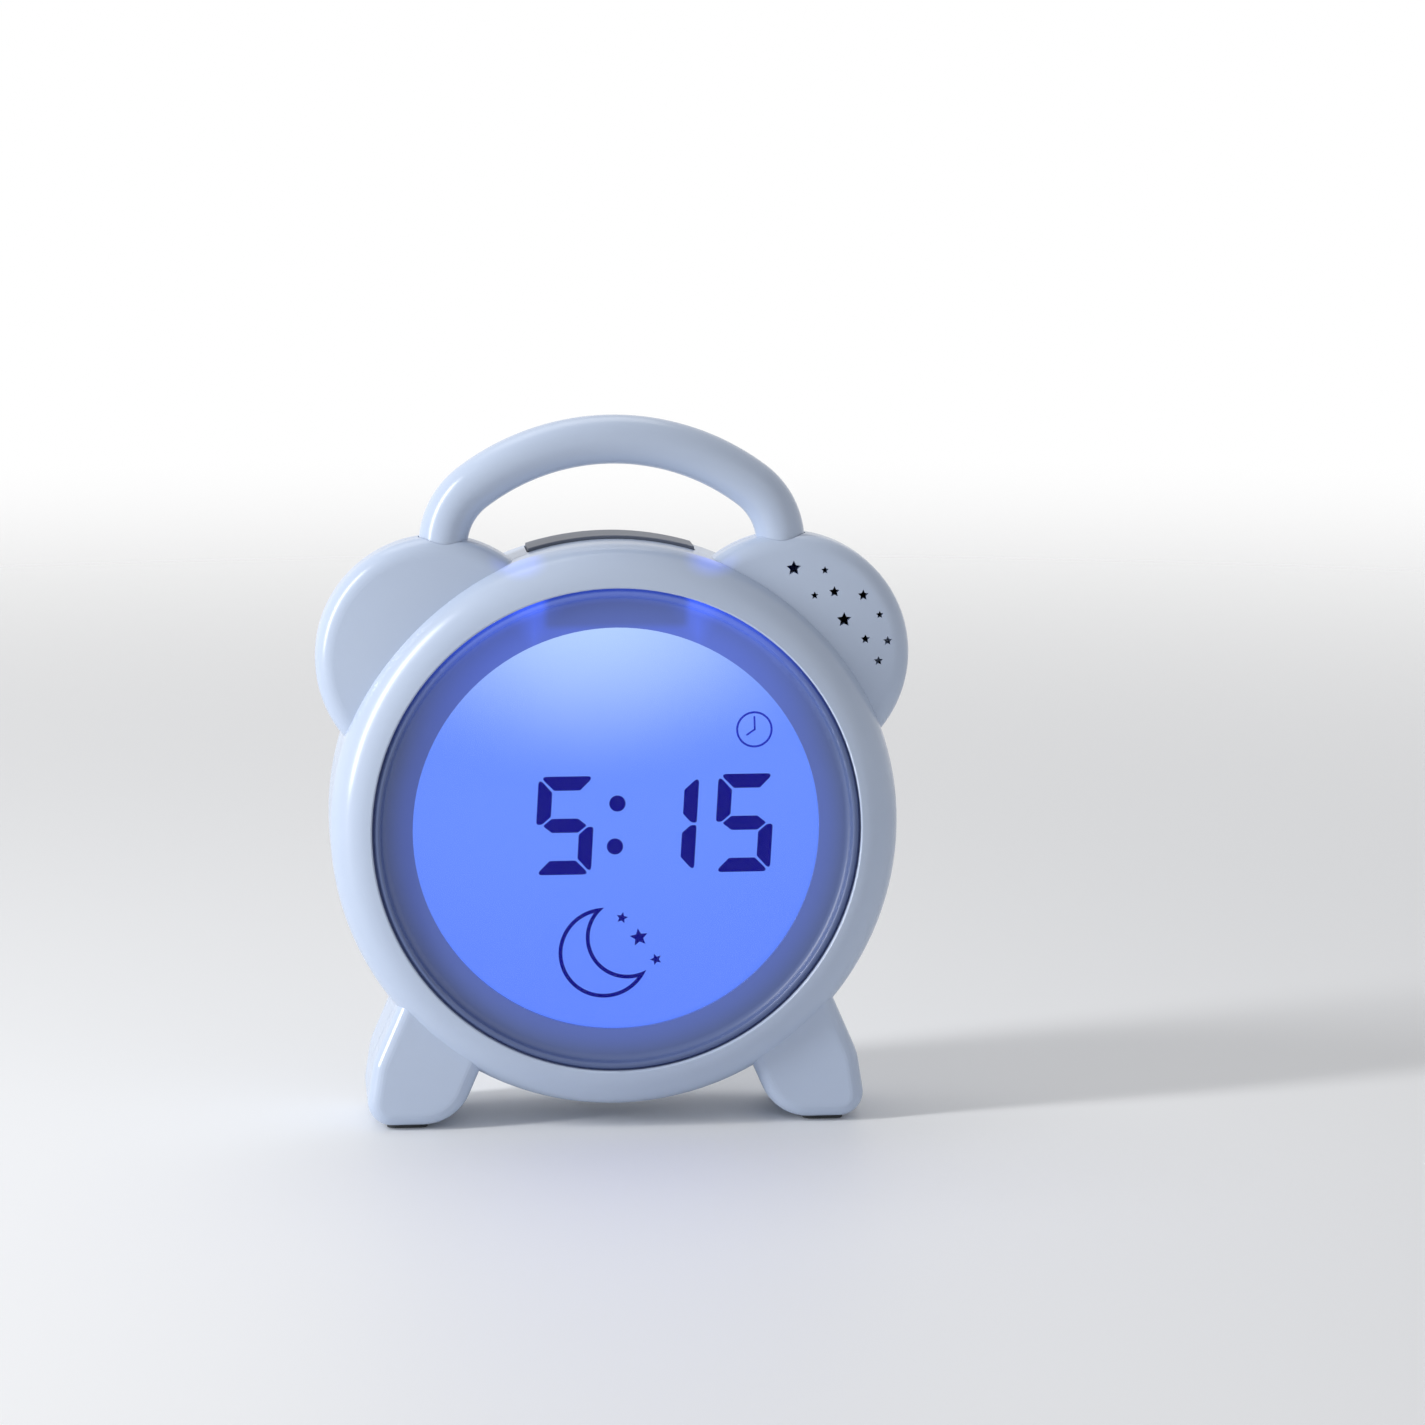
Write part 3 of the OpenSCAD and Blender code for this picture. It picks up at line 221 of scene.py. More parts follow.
def move(piece: Piece, shift: Sequence[float], turn: float = 0.0) -> Piece:
    """Turns a piece about z and then moves it, both kept in the mesh.

    Args:
        piece: The piece to place.
        shift: Move along x, y and z.
        turn: Turn about z in degrees.

    Returns:
        The same piece.
    """
    piece.rotation_euler = (0, 0, math.radians(turn))
    piece.location = Vector(shift)
    return settle(piece)


def joined(name: str, pieces: Sequence[Piece]) -> Piece:
    """Joins pieces into one mesh under a new name."""
    choose(pieces[0])
    for piece in pieces:
        piece.select_set(True)
    if len(pieces) > 1:
        bpy.ops.object.join()
    return named(name)


def cut_out(piece: Piece, tool: Piece) -> Piece:
    """Cuts a figure right through a film and removes the figure.

    Args:
        piece: The film that is cut.
        tool: The figure, drawn as thick as the film.

    Returns:
        The film.
    """
    tool.scale = (1.0, 1.0, TOOL_DEPTH)
    settle(tool)
    choose(piece)
    step = piece.modifiers.new("cut", "BOOLEAN")
    step.object = tool
    step.operation = "DIFFERENCE"
    step.solver = "EXACT"
    bpy.ops.object.modifier_apply(modifier=step.name)
    bpy.data.objects.remove(tool, do_unlink=True)
    return piece


def stand_on_dial(piece: Piece) -> Piece:
    """Stands a piece drawn flat in dial coordinates up in the clock's own frame.

    Args:
        piece: Drawn with x right, y up and z forward from the parting plane.

    Returns:
        The same piece, with its place in its mesh.
    """
    piece.rotation_euler = (math.pi / 2, 0, 0)
    piece.location = (0, PARTING_Y, DRUM_UP)
    settle(piece)
    bpy.ops.object.shade_smooth_by_angle(angle=math.radians(SMOOTH_BELOW))
    return piece


# ------------------------ shader groups


class Bench:
    """Short calls for laying out nodes in a group or a material."""

    def __init__(self, tree: Tree) -> None:
        """Works on the given node tree."""
        self.tree = tree

    def feed(self, target: Socket, value: object) -> None:
        """Links a socket, or writes a plain value, into another socket."""
        if isinstance(value, bpy.types.NodeSocket):
            self.tree.links.new(value, target)
        elif value is not None:
            target.default_value = value

    def fill(self, node: bpy.types.Node, values: dict[str, object]) -> Sequence[Socket]:
        """Feeds a node's named inputs and returns its outputs, which also go by name."""
        for key, value in values.items():
            self.feed(node.inputs[key], value)
        return node.outputs

    def math(self, how: str, a: object, b: object = None, c: object = None) -> Socket:
        """One math node.

        Args:
            how: The operation's name.
            a, b, c: Its operands, as sockets or numbers.

        Returns:
            The result's socket.
        """
        node = self.tree.nodes.new("ShaderNodeMath")
        node.operation = how
        for slot, value in zip(node.inputs, (a, b, c)):
            self.feed(slot, value)
        return node.outputs[0]

    def times(self, a: object, b: object) -> Socket:
        """The product of two values."""
        return self.math("MULTIPLY", a, b)

    def minus(self, a: object, b: object) -> Socket:
        """The first value less the second."""
        return self.math("SUBTRACT", a, b)

    def unsigned(self, value: object) -> Socket:
        """A value without its sign."""
        return self.math("ABSOLUTE", value)

    def length(self, a: object, b: object) -> Socket:
        """Length of a line that goes a across and b up."""
        return self.math("SQRT", self.math("ADD", self.times(a, a), self.times(b, b)))

    def swung(self, noise: Socket, share: object, base: object) -> Socket:
        """A base value that swings up and down with a share of the noise."""
        return self.math("MULTIPLY_ADD", self.minus(noise, 0.5), share, base)

    def mix(self, share: object, a: object, b: object) -> Socket:
        """A colour that goes from a to b as share goes from 0 to 1."""
        node = self.tree.nodes.new("ShaderNodeMix")
        node.data_type = "RGBA"
        for index, value in ((0, share), (6, a), (7, b)):
            self.feed(node.inputs[index], value)
        return node.outputs[2]

    def ramp(self, value: object, start: object, end: object) -> Socket:
        """Takes a value from 0 at start to 1 at end, eased in and out.

        Args:
            value: What is mapped.
            start: Where the result is 0; above the end, the result falls.
            end: Where the result is 1.

        Returns:
            The mapped value's socket, kept between 0 and 1.
        """
        node = self.tree.nodes.new("ShaderNodeMapRange")
        node.interpolation_type = "SMOOTHSTEP"
        limits = {"Value": value, "From Min": start, "From Max": end}
        return self.fill(node, limits)["Result"]

    def place(self) -> Socket:
        """The point on the piece, in metres."""
        return self.tree.nodes.new("ShaderNodeTexCoord").outputs["Object"]

    def stretched(self, scale: Sequence[float]) -> Socket:
        """The point on the piece, stretched by a factor along each axis."""
        node = self.tree.nodes.new("ShaderNodeMapping")
        return self.fill(node, {"Scale": scale, "Vector": self.place()})["Vector"]

    def split(self) -> tuple[Socket, Socket, Socket]:
        """The x, y and z of the point on the piece."""
        node = self.tree.nodes.new("ShaderNodeSeparateXYZ")
        return tuple(self.fill(node, {"Vector": self.place()}))

    def noise(self, scale: object, detail: float, where: Socket | None = None) -> Socket:
        """Soft random values about 0.5 over the piece or over a given point."""
        node = self.tree.nodes.new("ShaderNodeTexNoise")
        values = {"Scale": scale, "Detail": detail, "Vector": where or self.place()}
        return self.fill(node, values)["Fac"]


class GroupBench(Bench):
    """A bench for one shader group with named inputs and outputs."""

    def __init__(self, name: str, inputs: dict[str, object]) -> None:
        """Starts a group.

        Args:
            name: Name of the group.
            inputs: The usual value of each named input, a number or a colour.
        """
        super().__init__(bpy.data.node_groups.new(name, "ShaderNodeTree"))
        entry = self.tree.nodes.new("NodeGroupInput")
        for key, value in inputs.items():
            self.socket(key, "INPUT", not isinstance(value, float)).default_value = value
        self.given = [entry.outputs[key] for key in inputs]

    def socket(self, name: str, way: str, coloured: bool) -> bpy.types.NodeTreeInterfaceSocket:
        """Adds an input or an output for a number or a colour."""
        kind = "NodeSocketColor" if coloured else "NodeSocketFloat"
        return self.tree.interface.new_socket(name, in_out=way, socket_type=kind)

    def giving(self, **sources: Socket) -> Tree:
        """Adds an output of the source's own kind for each name, and returns the group."""
        leave = self.tree.nodes.new("NodeGroupOutput")
        for name, source in sources.items():
            self.socket(name, "OUTPUT", source.type == "RGBA")
            self.tree.links.new(source, leave.inputs[name])
        return self.tree


@cache
def grain_group() -> Tree:
    """Moulding grain: a faint spark pattern, slow gloss swings and a soft mottle."""
    bench = GroupBench("moulding_grain", {
        "Colour": (0.8, 0.8, 0.8, 1), "Shade": (0.7, 0.7, 0.7, 1), "Mottle": 0.2,
        "Grain": 2500.0, "Roughness": 0.35, "Swing": 0.08,
    })
    colour, shade, mottle, grain, roughness, swing = bench.given
    slow = bench.noise(22.0, 3.0)
    fine = bench.noise(grain, 2.0)
    share = bench.times(bench.ramp(slow, 0.35, 0.7), mottle)
    return bench.giving(
        Colour=bench.mix(share, colour, shade),
        Roughness=bench.swung(fine, 0.04, bench.swung(slow, swing, roughness)),
        Height=fine,
    )


@cache
def pool_group() -> Tree:
    """Light that enters a panel at its top edge and thins out downwards and to the rim."""
    bench = GroupBench("edge_lit_pool", {
        "Near": (1, 1, 1, 1), "Middle": (0.5, 0.6, 1, 1), "Far": (0.1, 0.2, 1, 1),
        "Source Up": 0.15, "Reach": 0.05, "Fade": 0.1,
    })
    near, middle, far, source_up, reach, fade = bench.given
    to_left, narrowing, cloudiness = 0.006, 0.64, 0.006
    x, _, z = bench.split()
    across = bench.times(bench.math("ADD", x, to_left), narrowing)
    away = bench.length(bench.minus(source_up, z), across)
    cloud = bench.swung(bench.noise(28.0, 1.0), cloudiness, away)
    pool = bench.mix(bench.ramp(cloud, 0.0, reach), near, middle)
    return bench.giving(Colour=bench.mix(bench.ramp(away, reach, fade), pool, far))


@cache
def painted_halo_group() -> Tree:
    """Painted glow on a translucent ring: the screen's light painted near its inner edge and the
    lamps' light near its top.

    A painted shadow of the push bar behind the top shows as a darker bar, with a painted bright
    spot at each end.
    """
    bench = GroupBench("ring_halo", {
        "Glow": (0.1, 0.2, 1, 1), "Inner": 0.05, "Width": 0.01, "Base": 0.3, "Top": 1.0,
    })
    glow, inner, width, base, top = bench.given
    everywhere, rim_share, high_share, spot_share, bar_shadow_share = 0.035, 0.6, 0.45, 0.55, -0.45
    spot_aside, spot_up, spot_size, spot_squeeze = 0.020, 0.0545, 0.009, 0.7
    x, _, z = bench.split()
    side, up = bench.unsigned(x), bench.minus(z, DRUM_UP)
    out = bench.length(x, up)
    # painted glow of the screen's light, strongest at the ring's inner edge
    near = bench.ramp(bench.minus(out, inner), width, 0.0)
    # painted glow of the lamps' light at the outer rim of the top, and rising towards the top
    rim = bench.times(bench.ramp(out, 0.0555, 0.0588), bench.ramp(up, 0.034, 0.056))
    high = bench.ramp(up, 0.016, 0.054)
    # painted bright spots beside both ends of the push bar
    off_spot = bench.math(
        "MULTIPLY_ADD", bench.unsigned(bench.minus(up, spot_up)), spot_squeeze,
        bench.unsigned(bench.minus(side, spot_aside)),
    )
    spot = bench.ramp(off_spot, spot_size, 0.0)
    # painted shadow of the push bar: a darker bar across the top
    bar = bench.times(bench.ramp(up, 0.049, 0.0515), bench.ramp(side, 0.0185, 0.016))
    level = bench.math("MULTIPLY_ADD", near, base, everywhere)
    for mask, share in ((rim, rim_share), (high, high_share), (spot, spot_share)):
        level = bench.math("MULTIPLY_ADD", mask, bench.times(top, share), level)
    level = bench.times(level, bench.math("MULTIPLY_ADD", bar, bar_shadow_share, 1.0))
    return bench.giving(Colour=bench.mix(level, BLACK, glow))


@cache
def painted_leak_group() -> Tree:
    """Painted glow: lamp light painted on the front moulding beside both ends of the push bar."""
    bench = GroupBench("lamp_leak", {
        "Glow": (0.1, 0.2, 1, 1), "Side": 0.0238, "Up": 0.1412, "Size": 0.005,
        "Behind": -0.012,
    })
    glow, side, source_up, size, behind = bench.given
    narrowing, depth = 0.6, 0.003
    x, y, z = bench.split()
    across = bench.times(narrowing, bench.minus(bench.unsigned(x), side))
    # painted glow spot beside each end of the push bar, kept to the front moulding
    spot = bench.ramp(bench.length(across, bench.minus(z, source_up)), size, 0.0)
    front = bench.ramp(y, behind, bench.minus(behind, depth))
    return bench.giving(Colour=bench.mix(bench.times(spot, front), BLACK, glow))


@cache
def lay_group() -> Tree:
    """Drawn or plated metal: fine lines along one axis, smudges and a little tarnish."""
    bench = GroupBench("metal_lay", {
        "Colour": (0.7, 0.7, 0.7, 1), "Tarnish": (0.4, 0.38, 0.34, 1), "Amount": 0.2,
        "Roughness": 0.25,
    })
    colour, tarnish, amount, roughness = bench.given
    lines = bench.noise(900.0, 2.0, bench.stretched((0.12, 1.0, 1.0)))
    smudge = bench.noise(160.0, 3.0)
    share = bench.times(bench.ramp(smudge, 0.5, 0.75), amount)
    return bench.giving(
        Colour=bench.mix(share, colour, tarnish),
        Roughness=bench.swung(smudge, 0.25, roughness),
        Height=lines,
    )


@cache
def track_group() -> Tree:
    """Circuit board: lacquer over copper tracks that run and turn on a square grid."""
    bench = GroupBench("board_tracks", {
        "Lacquer": (0.02, 0.15, 0.06, 1), "Track": (0.05, 0.28, 0.1, 1), "Pitch": 420.0,
    })
    lacquer, copper, pitch = bench.given
    track_share, patch_scale, along = 0.3, 95.0, 0.25
    x, _, z = bench.split()
    runs = []
    for across, stretch, bare in ((x, (1.0, 1.0, along), 0.5), (z, (along, 1.0, 1.0), 0.53)):
        step = bench.math("FRACT", bench.times(across, pitch))
        patch = bench.noise(patch_scale, 0.0, bench.stretched(stretch))
        runs.append(bench.times(bench.math("LESS_THAN", step, track_share),
                                bench.math("GREATER_THAN", patch, bare)))
    track = bench.math("MAXIMUM", *runs)
    return bench.giving(Colour=bench.mix(track, lacquer, copper), Height=track)


@cache
def sleeve_group() -> Tree:
    """Film sleeve of a dry cell: a pale band near the plus end and bare metal at the ends."""
    bench = GroupBench("cell_sleeve", {
        "Wrap": (0.02, 0.1, 0.2, 1), "Band": (0.6, 0.6, 0.6, 1), "Metal": (0.7, 0.7, 0.7, 1),
    })
    wrap, pale, metal = bench.given
    middle_row_up, half_row, band_from, band_to, bare_from = 0.063, 0.0076, 0.0125, 0.0195, 0.0245
    x, _, z = bench.split()
    # the cell of the middle row lies the other way round
    outer = bench.math("GREATER_THAN", bench.unsigned(bench.minus(z, middle_row_up)), half_row)
    along = bench.times(x, bench.math("MULTIPLY_ADD", outer, 2.0, -1.0))
    band = bench.times(bench.math("GREATER_THAN", along, band_from),
                       bench.math("LESS_THAN", along, band_to))
    bare = bench.math("GREATER_THAN", bench.unsigned(along), bare_from)
    return bench.giving(
        Colour=bench.mix(bare, bench.mix(band, wrap, pale), metal), Bare=bare
    )


# ------------------------ finishes


class LookBench(Bench):
    """A bench for one new material and its Principled shader."""

    def __init__(self, name: str) -> None:
        """Makes the material."""
        self.material = bpy.data.materials.new(name)
        self.material.use_nodes = True
        super().__init__(self.material.node_tree)
        self.shader = self.tree.nodes["Principled BSDF"]

    def wear(self, values: dict[str, object]) -> None:
        """Feeds the shader's named inputs."""
        self.fill(self.shader, values)

    def group(self, made: Callable[[], Tree], values: dict[str, object]) -> Sequence[Socket]:
        """Places a shader group in the material.

        Args:
            made: Returns the group, and builds it the first time.
            values: A value for each named input.

        Returns:
            The group's outputs.
        """
        node = self.tree.nodes.new("ShaderNodeGroup")
        node.node_tree = made()
        return self.fill(node, values)

    def bump(self, height: Socket, strength: float, distance: float) -> None:
        """Feeds a height into the shader's normal.

        Args:
            height: The height's socket.
            strength: Share of the bump that shows.
            distance: Height in metres for a value of 1.
        """
        node = self.tree.nodes.new("ShaderNodeBump")
        values = {"Strength": strength, "Distance": distance, "Height": height}
        self.wear({"Normal": self.fill(node, values)["Normal"]})


MATERIALS: dict[str, bpy.types.Material] = {}


@dataclass(frozen=True)
class Finish:
    """What every finish has in common: a name, a colour and a plain gloss."""

    name: str
    colour: Colour
    roughness: float

    def material(self) -> bpy.types.Material:
        """Builds the material once and returns it after that."""
        if self.name not in MATERIALS:
            bench = LookBench(f"{self.name}_finish")
            bench.material.diffuse_color = self.colour
            bench.wear({"Base Color": self.colour, "Roughness": self.roughness})
            self.dress(bench)
            MATERIALS[self.name] = bench.material
        return MATERIALS[self.name]

    def dress(self, bench: LookBench) -> None:
        """Adds what sets this finish apart; the plain finish adds nothing."""


@dataclass(frozen=True)
class Moulding(Finish):
    """Moulded plastic or rubber with a fine grain."""

    shade: Colour
    mottle: float = 0.35
    grain: float = 2600.0
    swing: float = 0.1
    relief: float = 0.25
    depth: float = 0.00002

    def dress(self, bench: LookBench) -> None:
        """Feeds grain, mottle and gloss swings into the shader."""
        made = bench.group(grain_group, {
            "Colour": self.colour, "Shade": self.shade, "Mottle": self.mottle,
            "Grain": self.grain, "Roughness": self.roughness, "Swing": self.swing,
        })
        bench.wear({"Base Color": made["Colour"], "Roughness": made["Roughness"]})
        bench.bump(made["Height"], self.relief, self.depth)


@dataclass(frozen=True)
class PaintedGlowRing(Moulding):
    """Translucent moulding with a painted glow of the lamps' and the screen's light, and a
    painted shadow bar.
    """

    glow: Colour = field(kw_only=True)
    strength: float = 0.8
    inner: float = 0.05
    width: float = 0.009
    base: float = 0.24
    top: float = 0.62

    def dress(self, bench: LookBench) -> None:
        """Adds the painted halo on top of the moulding."""
        super().dress(bench)
        made = bench.group(painted_halo_group, {
            "Glow": self.glow, "Inner": self.inner, "Width": self.width, "Base": self.base,
            "Top": self.top,
        })
        bench.wear({"Emission Color": made["Colour"], "Emission Strength": self.strength})


@dataclass(frozen=True)
class PaintedLeakMoulding(Moulding):
    """Moulding with a painted glow of lamp light beside the push bar."""

    glow: Colour = field(kw_only=True)
    strength: float = 0.5

    def dress(self, bench: LookBench) -> None:
        """Adds the two painted glow spots on top of the moulding."""
        super().dress(bench)
        made = bench.group(painted_leak_group, {"Glow": self.glow})
        bench.wear({"Emission Color": made["Colour"], "Emission Strength": self.strength})


@dataclass(frozen=True)
class Backlight(Finish):
    """Panel lit from its top edge."""

    near: Colour
    middle: Colour
    far: Colour
    source_up: float = DRUM_UP + 0.056
    reach: float = 0.0465
    fade: float = 0.11
    strength: float = 1.0

    def dress(self, bench: LookBench) -> None:
        """Feeds the pool of light into the shader's glow."""
        made = bench.group(pool_group, {
            "Near": self.near, "Middle": self.middle, "Far": self.far,
            "Source Up": self.source_up, "Reach": self.reach, "Fade": self.fade,
        })
        bench.wear({
            "Emission Color": made["Colour"], "Emission Strength": self.strength,
            "Specular IOR Level": DULL,
        })


@dataclass(frozen=True)
class Ink(Finish):
    """Lit display film: dark, with a little of the blue behind it coming through."""

    through: float = 0.35

    def dress(self, bench: LookBench) -> None:
        """Keeps reflections down and lets the blue through."""
        bench.wear({
            "Emission Color": self.colour, "Emission Strength": self.through,
            "Specular IOR Level": DULL,
        })


@dataclass(frozen=True)
class Acrylic(Finish):
    """Clear acrylic sheet with a coating that keeps reflections down."""

    index: float = 1.18

    def dress(self, bench: LookBench) -> None:
        """Makes the shader clear."""
        bench.wear({"Transmission Weight": 1.0, "IOR": self.index})


@dataclass(frozen=True)
class Plated(Finish):
    """Plated or drawn metal."""

    tarnish: Colour = (0.35, 0.33, 0.3, 1)
    amount: float = 0.25
    relief: float = 0.2
    depth: float = 0.00001

    def dress(self, bench: LookBench) -> None:
        """Feeds the lay of the metal into the shader."""
        made = bench.group(lay_group, {
            "Colour": self.colour, "Tarnish": self.tarnish, "Amount": self.amount,
            "Roughness": self.roughness,
        })
        bench.wear({
            "Base Color": made["Colour"], "Roughness": made["Roughness"], "Metallic": 1.0,
        })
        bench.bump(made["Height"], self.relief, self.depth)


@dataclass(frozen=True)
class Lacquered(Finish):
    """Circuit board under green lacquer."""

    track: Colour = (0.04, 0.26, 0.1, 1)
    pitch: float = 420.0
    coat: float = 0.5
    relief: float = 0.6
    depth: float = 0.00004

    def dress(self, bench: LookBench) -> None:
        """Feeds the tracks into the shader."""
        made = bench.group(track_group, {
            "Lacquer": self.colour, "Track": self.track, "Pitch": self.pitch,
        })
        bench.wear({"Base Color": made["Colour"], "Coat Weight": self.coat})
        bench.bump(made["Height"], self.relief, self.depth)


@dataclass(frozen=True)
class Sleeve(Finish):
    """Dry cell in its film sleeve."""

    band: Colour = (0.55, 0.57, 0.6, 1)
    metal: Colour = (0.75, 0.75, 0.74, 1)

    def dress(self, bench: LookBench) -> None:
        """Feeds film and bare metal into the shader."""
        made = bench.group(sleeve_group, {
            "Wrap": self.colour, "Band": self.band, "Metal": self.metal,
        })
        bench.wear({"Base Color": made["Colour"], "Metallic": made["Bare"]})


# Painted light: the blue cast and the lowered level of these whites stand for blue night light on
# white plastic; the second colour is the random mottle tone.
BLUE_LIT_WHITE = (0.50, 0.585, 0.74, 1.0)
BLUE_LIT_MOTTLE = (0.45, 0.535, 0.70, 1.0)
FINISHES: dict[str, Finish] = {look.name: look for look in (
    # shell_white: painted glow of lamp light beside the push bar
    PaintedLeakMoulding("shell_white", BLUE_LIT_WHITE, 0.24, BLUE_LIT_MOTTLE, glow=tone(70, 104, 255)),
    Moulding("handle_white", BLUE_LIT_WHITE, 0.22, BLUE_LIT_MOTTLE),
    # bezel_white: painted shade, white plastic given a dark blue colour and a dark blue mottle
    # tone for the shade in its recess
    PaintedGlowRing("bezel_white", (0.098, 0.136, 0.255, 1), 0.36, (0.086, 0.122, 0.24, 1),
                glow=tone(60, 98, 255)),
    Acrylic("lens_clear", (1, 1, 1, 1), 0.02),
    Backlight("display_blue", (0.01, 0.015, 0.04, 1), 0.4,
              tone(184, 213, 255), tone(103, 141, 254), tone(96, 133, 254)),
    Backlight("guide_clear", (0.5, 0.55, 0.65, 1), 0.4,
              tone(200, 224, 255), tone(150, 180, 255), tone(120, 150, 255), strength=0.5),
    Moulding("frame_white", (0.78, 0.78, 0.75, 1), 0.5, (0.7, 0.7, 0.66, 1)),
    Lacquered("board_green", (0.015, 0.13, 0.05, 1), 0.35),
    Moulding("component_black", (0.022, 0.022, 0.025, 1), 0.45, (0.03, 0.03, 0.033, 1),
             depth=0.00004),
    Moulding("can_dark_blue", (0.02, 0.035, 0.09, 1), 0.3, (0.03, 0.045, 0.1, 1)),
    Plated("metal_bright", (0.78, 0.77, 0.74, 1), 0.2),
    Plated("screw_steel", (0.62, 0.63, 0.65, 1), 0.32, amount=0.4),
    Moulding("led_clear", (0.72, 0.8, 0.95, 1), 0.15, (0.6, 0.7, 0.95, 1), depth=0.000005),
    Moulding("rubber_black", (0.03, 0.03, 0.033, 1), 0.8, (0.05, 0.05, 0.055, 1)),
    Moulding("control_grey", tone(76, 84, 102), 0.42, tone(68, 76, 94), depth=0.00003),
    Plated("speaker_steel", (0.55, 0.56, 0.58, 1), 0.38),
    Moulding("speaker_paper", (0.035, 0.034, 0.033, 1), 0.9, (0.055, 0.052, 0.05, 1),
             grain=900.0, depth=0.0001),
    Moulding("magnet_dark", (0.05, 0.05, 0.052, 1), 0.6, (0.07, 0.07, 0.07, 1),
             depth=0.00006),
    Sleeve("cell_wrap", tone(38, 104, 122), 0.3),
    Moulding("pad_rubber", (0.05, 0.055, 0.062, 1), 0.85, (0.07, 0.075, 0.08, 1),
             grain=1500.0, depth=0.00008),
    Moulding("cable_grey", (0.6, 0.6, 0.57, 1), 0.5, (0.52, 0.52, 0.5, 1)),
)}
INK = Ink("segment_ink", tone(4, 4, 122), 0.5)
FINE_INK = Ink("symbol_ink", tone(34, 48, 176), 0.5)
PRINT = Moulding("pad_print", tone(92, 100, 120), 0.5, tone(84, 92, 112))


# ------------------------ camera and studio


@dataclass
class Viewpoint:
    """Where the clock is looked at from."""

    azimuth: float = -5.5
    elevation: float = 9.0
    distance: float = 1.2
    width: float = 0.3508
    ring: Sequence[float] = (0.0, -0.0145, 0.075)
    aside: float = 0.0239
    above: float = 0.0280
    sensor: float = 36.0
    clip: Spot = (0.05, 20.0)

    def build(self) -> None:
        """Makes the camera and hands it to the scene."""
        turn, lift = math.radians(self.azimuth), math.radians(self.elevation)
        back = Vector((
            math.sin(turn) * math.cos(lift), -math.cos(turn) * math.cos(lift), math.sin(lift)
        ))
        right = Vector((math.cos(turn), math.sin(turn), 0.0))
        up = back.cross(right)
        aim = Vector(self.ring) + right * self.aside + up * self.above
        lens = bpy.data.cameras.new("viewpoint")
        lens.sensor_width = self.sensor
        lens.lens = self.sensor * self.distance / self.width
        lens.clip_start, lens.clip_end = self.clip
        camera = bpy.data.objects.new("viewpoint", lens)
        bpy.context.scene.collection.objects.link(camera)
        camera.rotation_mode = "QUATERNION"
        camera.location = aim + back * self.distance
        camera.rotation_quaternion = (-back).to_track_quat("-Z", "Y")
        bpy.context.scene.camera = camera


@dataclass
class Lamp:
    """One soft lamp."""

    name: str
    place: Sequence[float]
    power: float
    size: Spot
    target: Sequence[float] = (0.0, 0.0, 0.08)

    def build(self) -> Piece:
        """Makes the lamp, facing its target."""
        data = bpy.data.lights.new(self.name, "AREA")
        data.shape = "RECTANGLE"
        data.size, data.size_y = self.size
        data.energy = self.power
        lamp = bpy.data.objects.new(self.name, data)
        bpy.context.scene.collection.objects.link(lamp)
        way = Vector(self.target) - Vector(self.place)
        lamp.location = self.place
        lamp.rotation_mode = "QUATERNION"
        lamp.rotation_quaternion = way.to_track_quat("-Z", "Y")
        return lamp


@dataclass
class Studio:
    """Plain pale floor, white surroundings and soft lamps."""

    floor_half: float = 2.0
    floor_colour: Colour = (0.86, 0.87, 0.885, 1.0)
    floor_roughness: float = 0.55
    clear_from: float = 0.2
    clear_to: float = 1.6
    surround: float = 0.36
    surround_blue: float = 1.02
    lamps: Sequence[Lamp] = (
        Lamp("key_lamp", (-0.95, -0.3, 0.5), 10.0, (0.12, 0.9)),
        Lamp("fill_lamp", (0.8, -0.9, 0.4), 0.6, (0.7, 0.7)),
        Lamp("top_lamp", (-0.1, 0.3, 1.0), 2.2, (0.8, 0.5)),
    )

    def build(self) -> None:
        """Makes the floor, the surroundings and the lamps."""
        bpy.context.scene.view_settings.view_transform = "Standard"
        self.world()
        lamps = [lamp.build() for lamp in self.lamps]
        self.floor()

    def world(self) -> None:
        """White for the camera, reflections and glass, and a softer light for the rest."""
        world = bpy.data.worlds.new("studio_world")
        world.use_nodes = True
        bpy.context.scene.world = world
        bench = Bench(world.node_tree)
        ground = bench.tree.nodes["Background"]
        path = bench.tree.nodes.new("ShaderNodeLightPath").outputs
        seen = bench.math("MAXIMUM", path["Is Camera Ray"], path["Is Glossy Ray"])
        seen = bench.math("MAXIMUM", seen, path["Is Transmission Ray"])
        soft = (self.surround, self.surround, self.surround * self.surround_blue, 1.0)
        bench.feed(ground.inputs["Color"], bench.mix(seen, soft, (1.0, 1.0, 1.0, 1.0)))

    def floor(self) -> Piece:
        """Pale floor that thins out to the white surroundings."""
        clear_selection()
        bpy.ops.mesh.primitive_plane_add(size=2 * self.floor_half)
        plane = named("floor")
        bench = LookBench("pale_floor")
        x, y, _ = bench.split()
        bench.wear({
            "Base Color": self.floor_colour, "Roughness": self.floor_roughness,
            "Alpha": bench.ramp(bench.length(x, y), self.clear_to, self.clear_from),
        })
        plane.data.materials.append(bench.material)
        return plane


# ------------------------ sub-assemblies


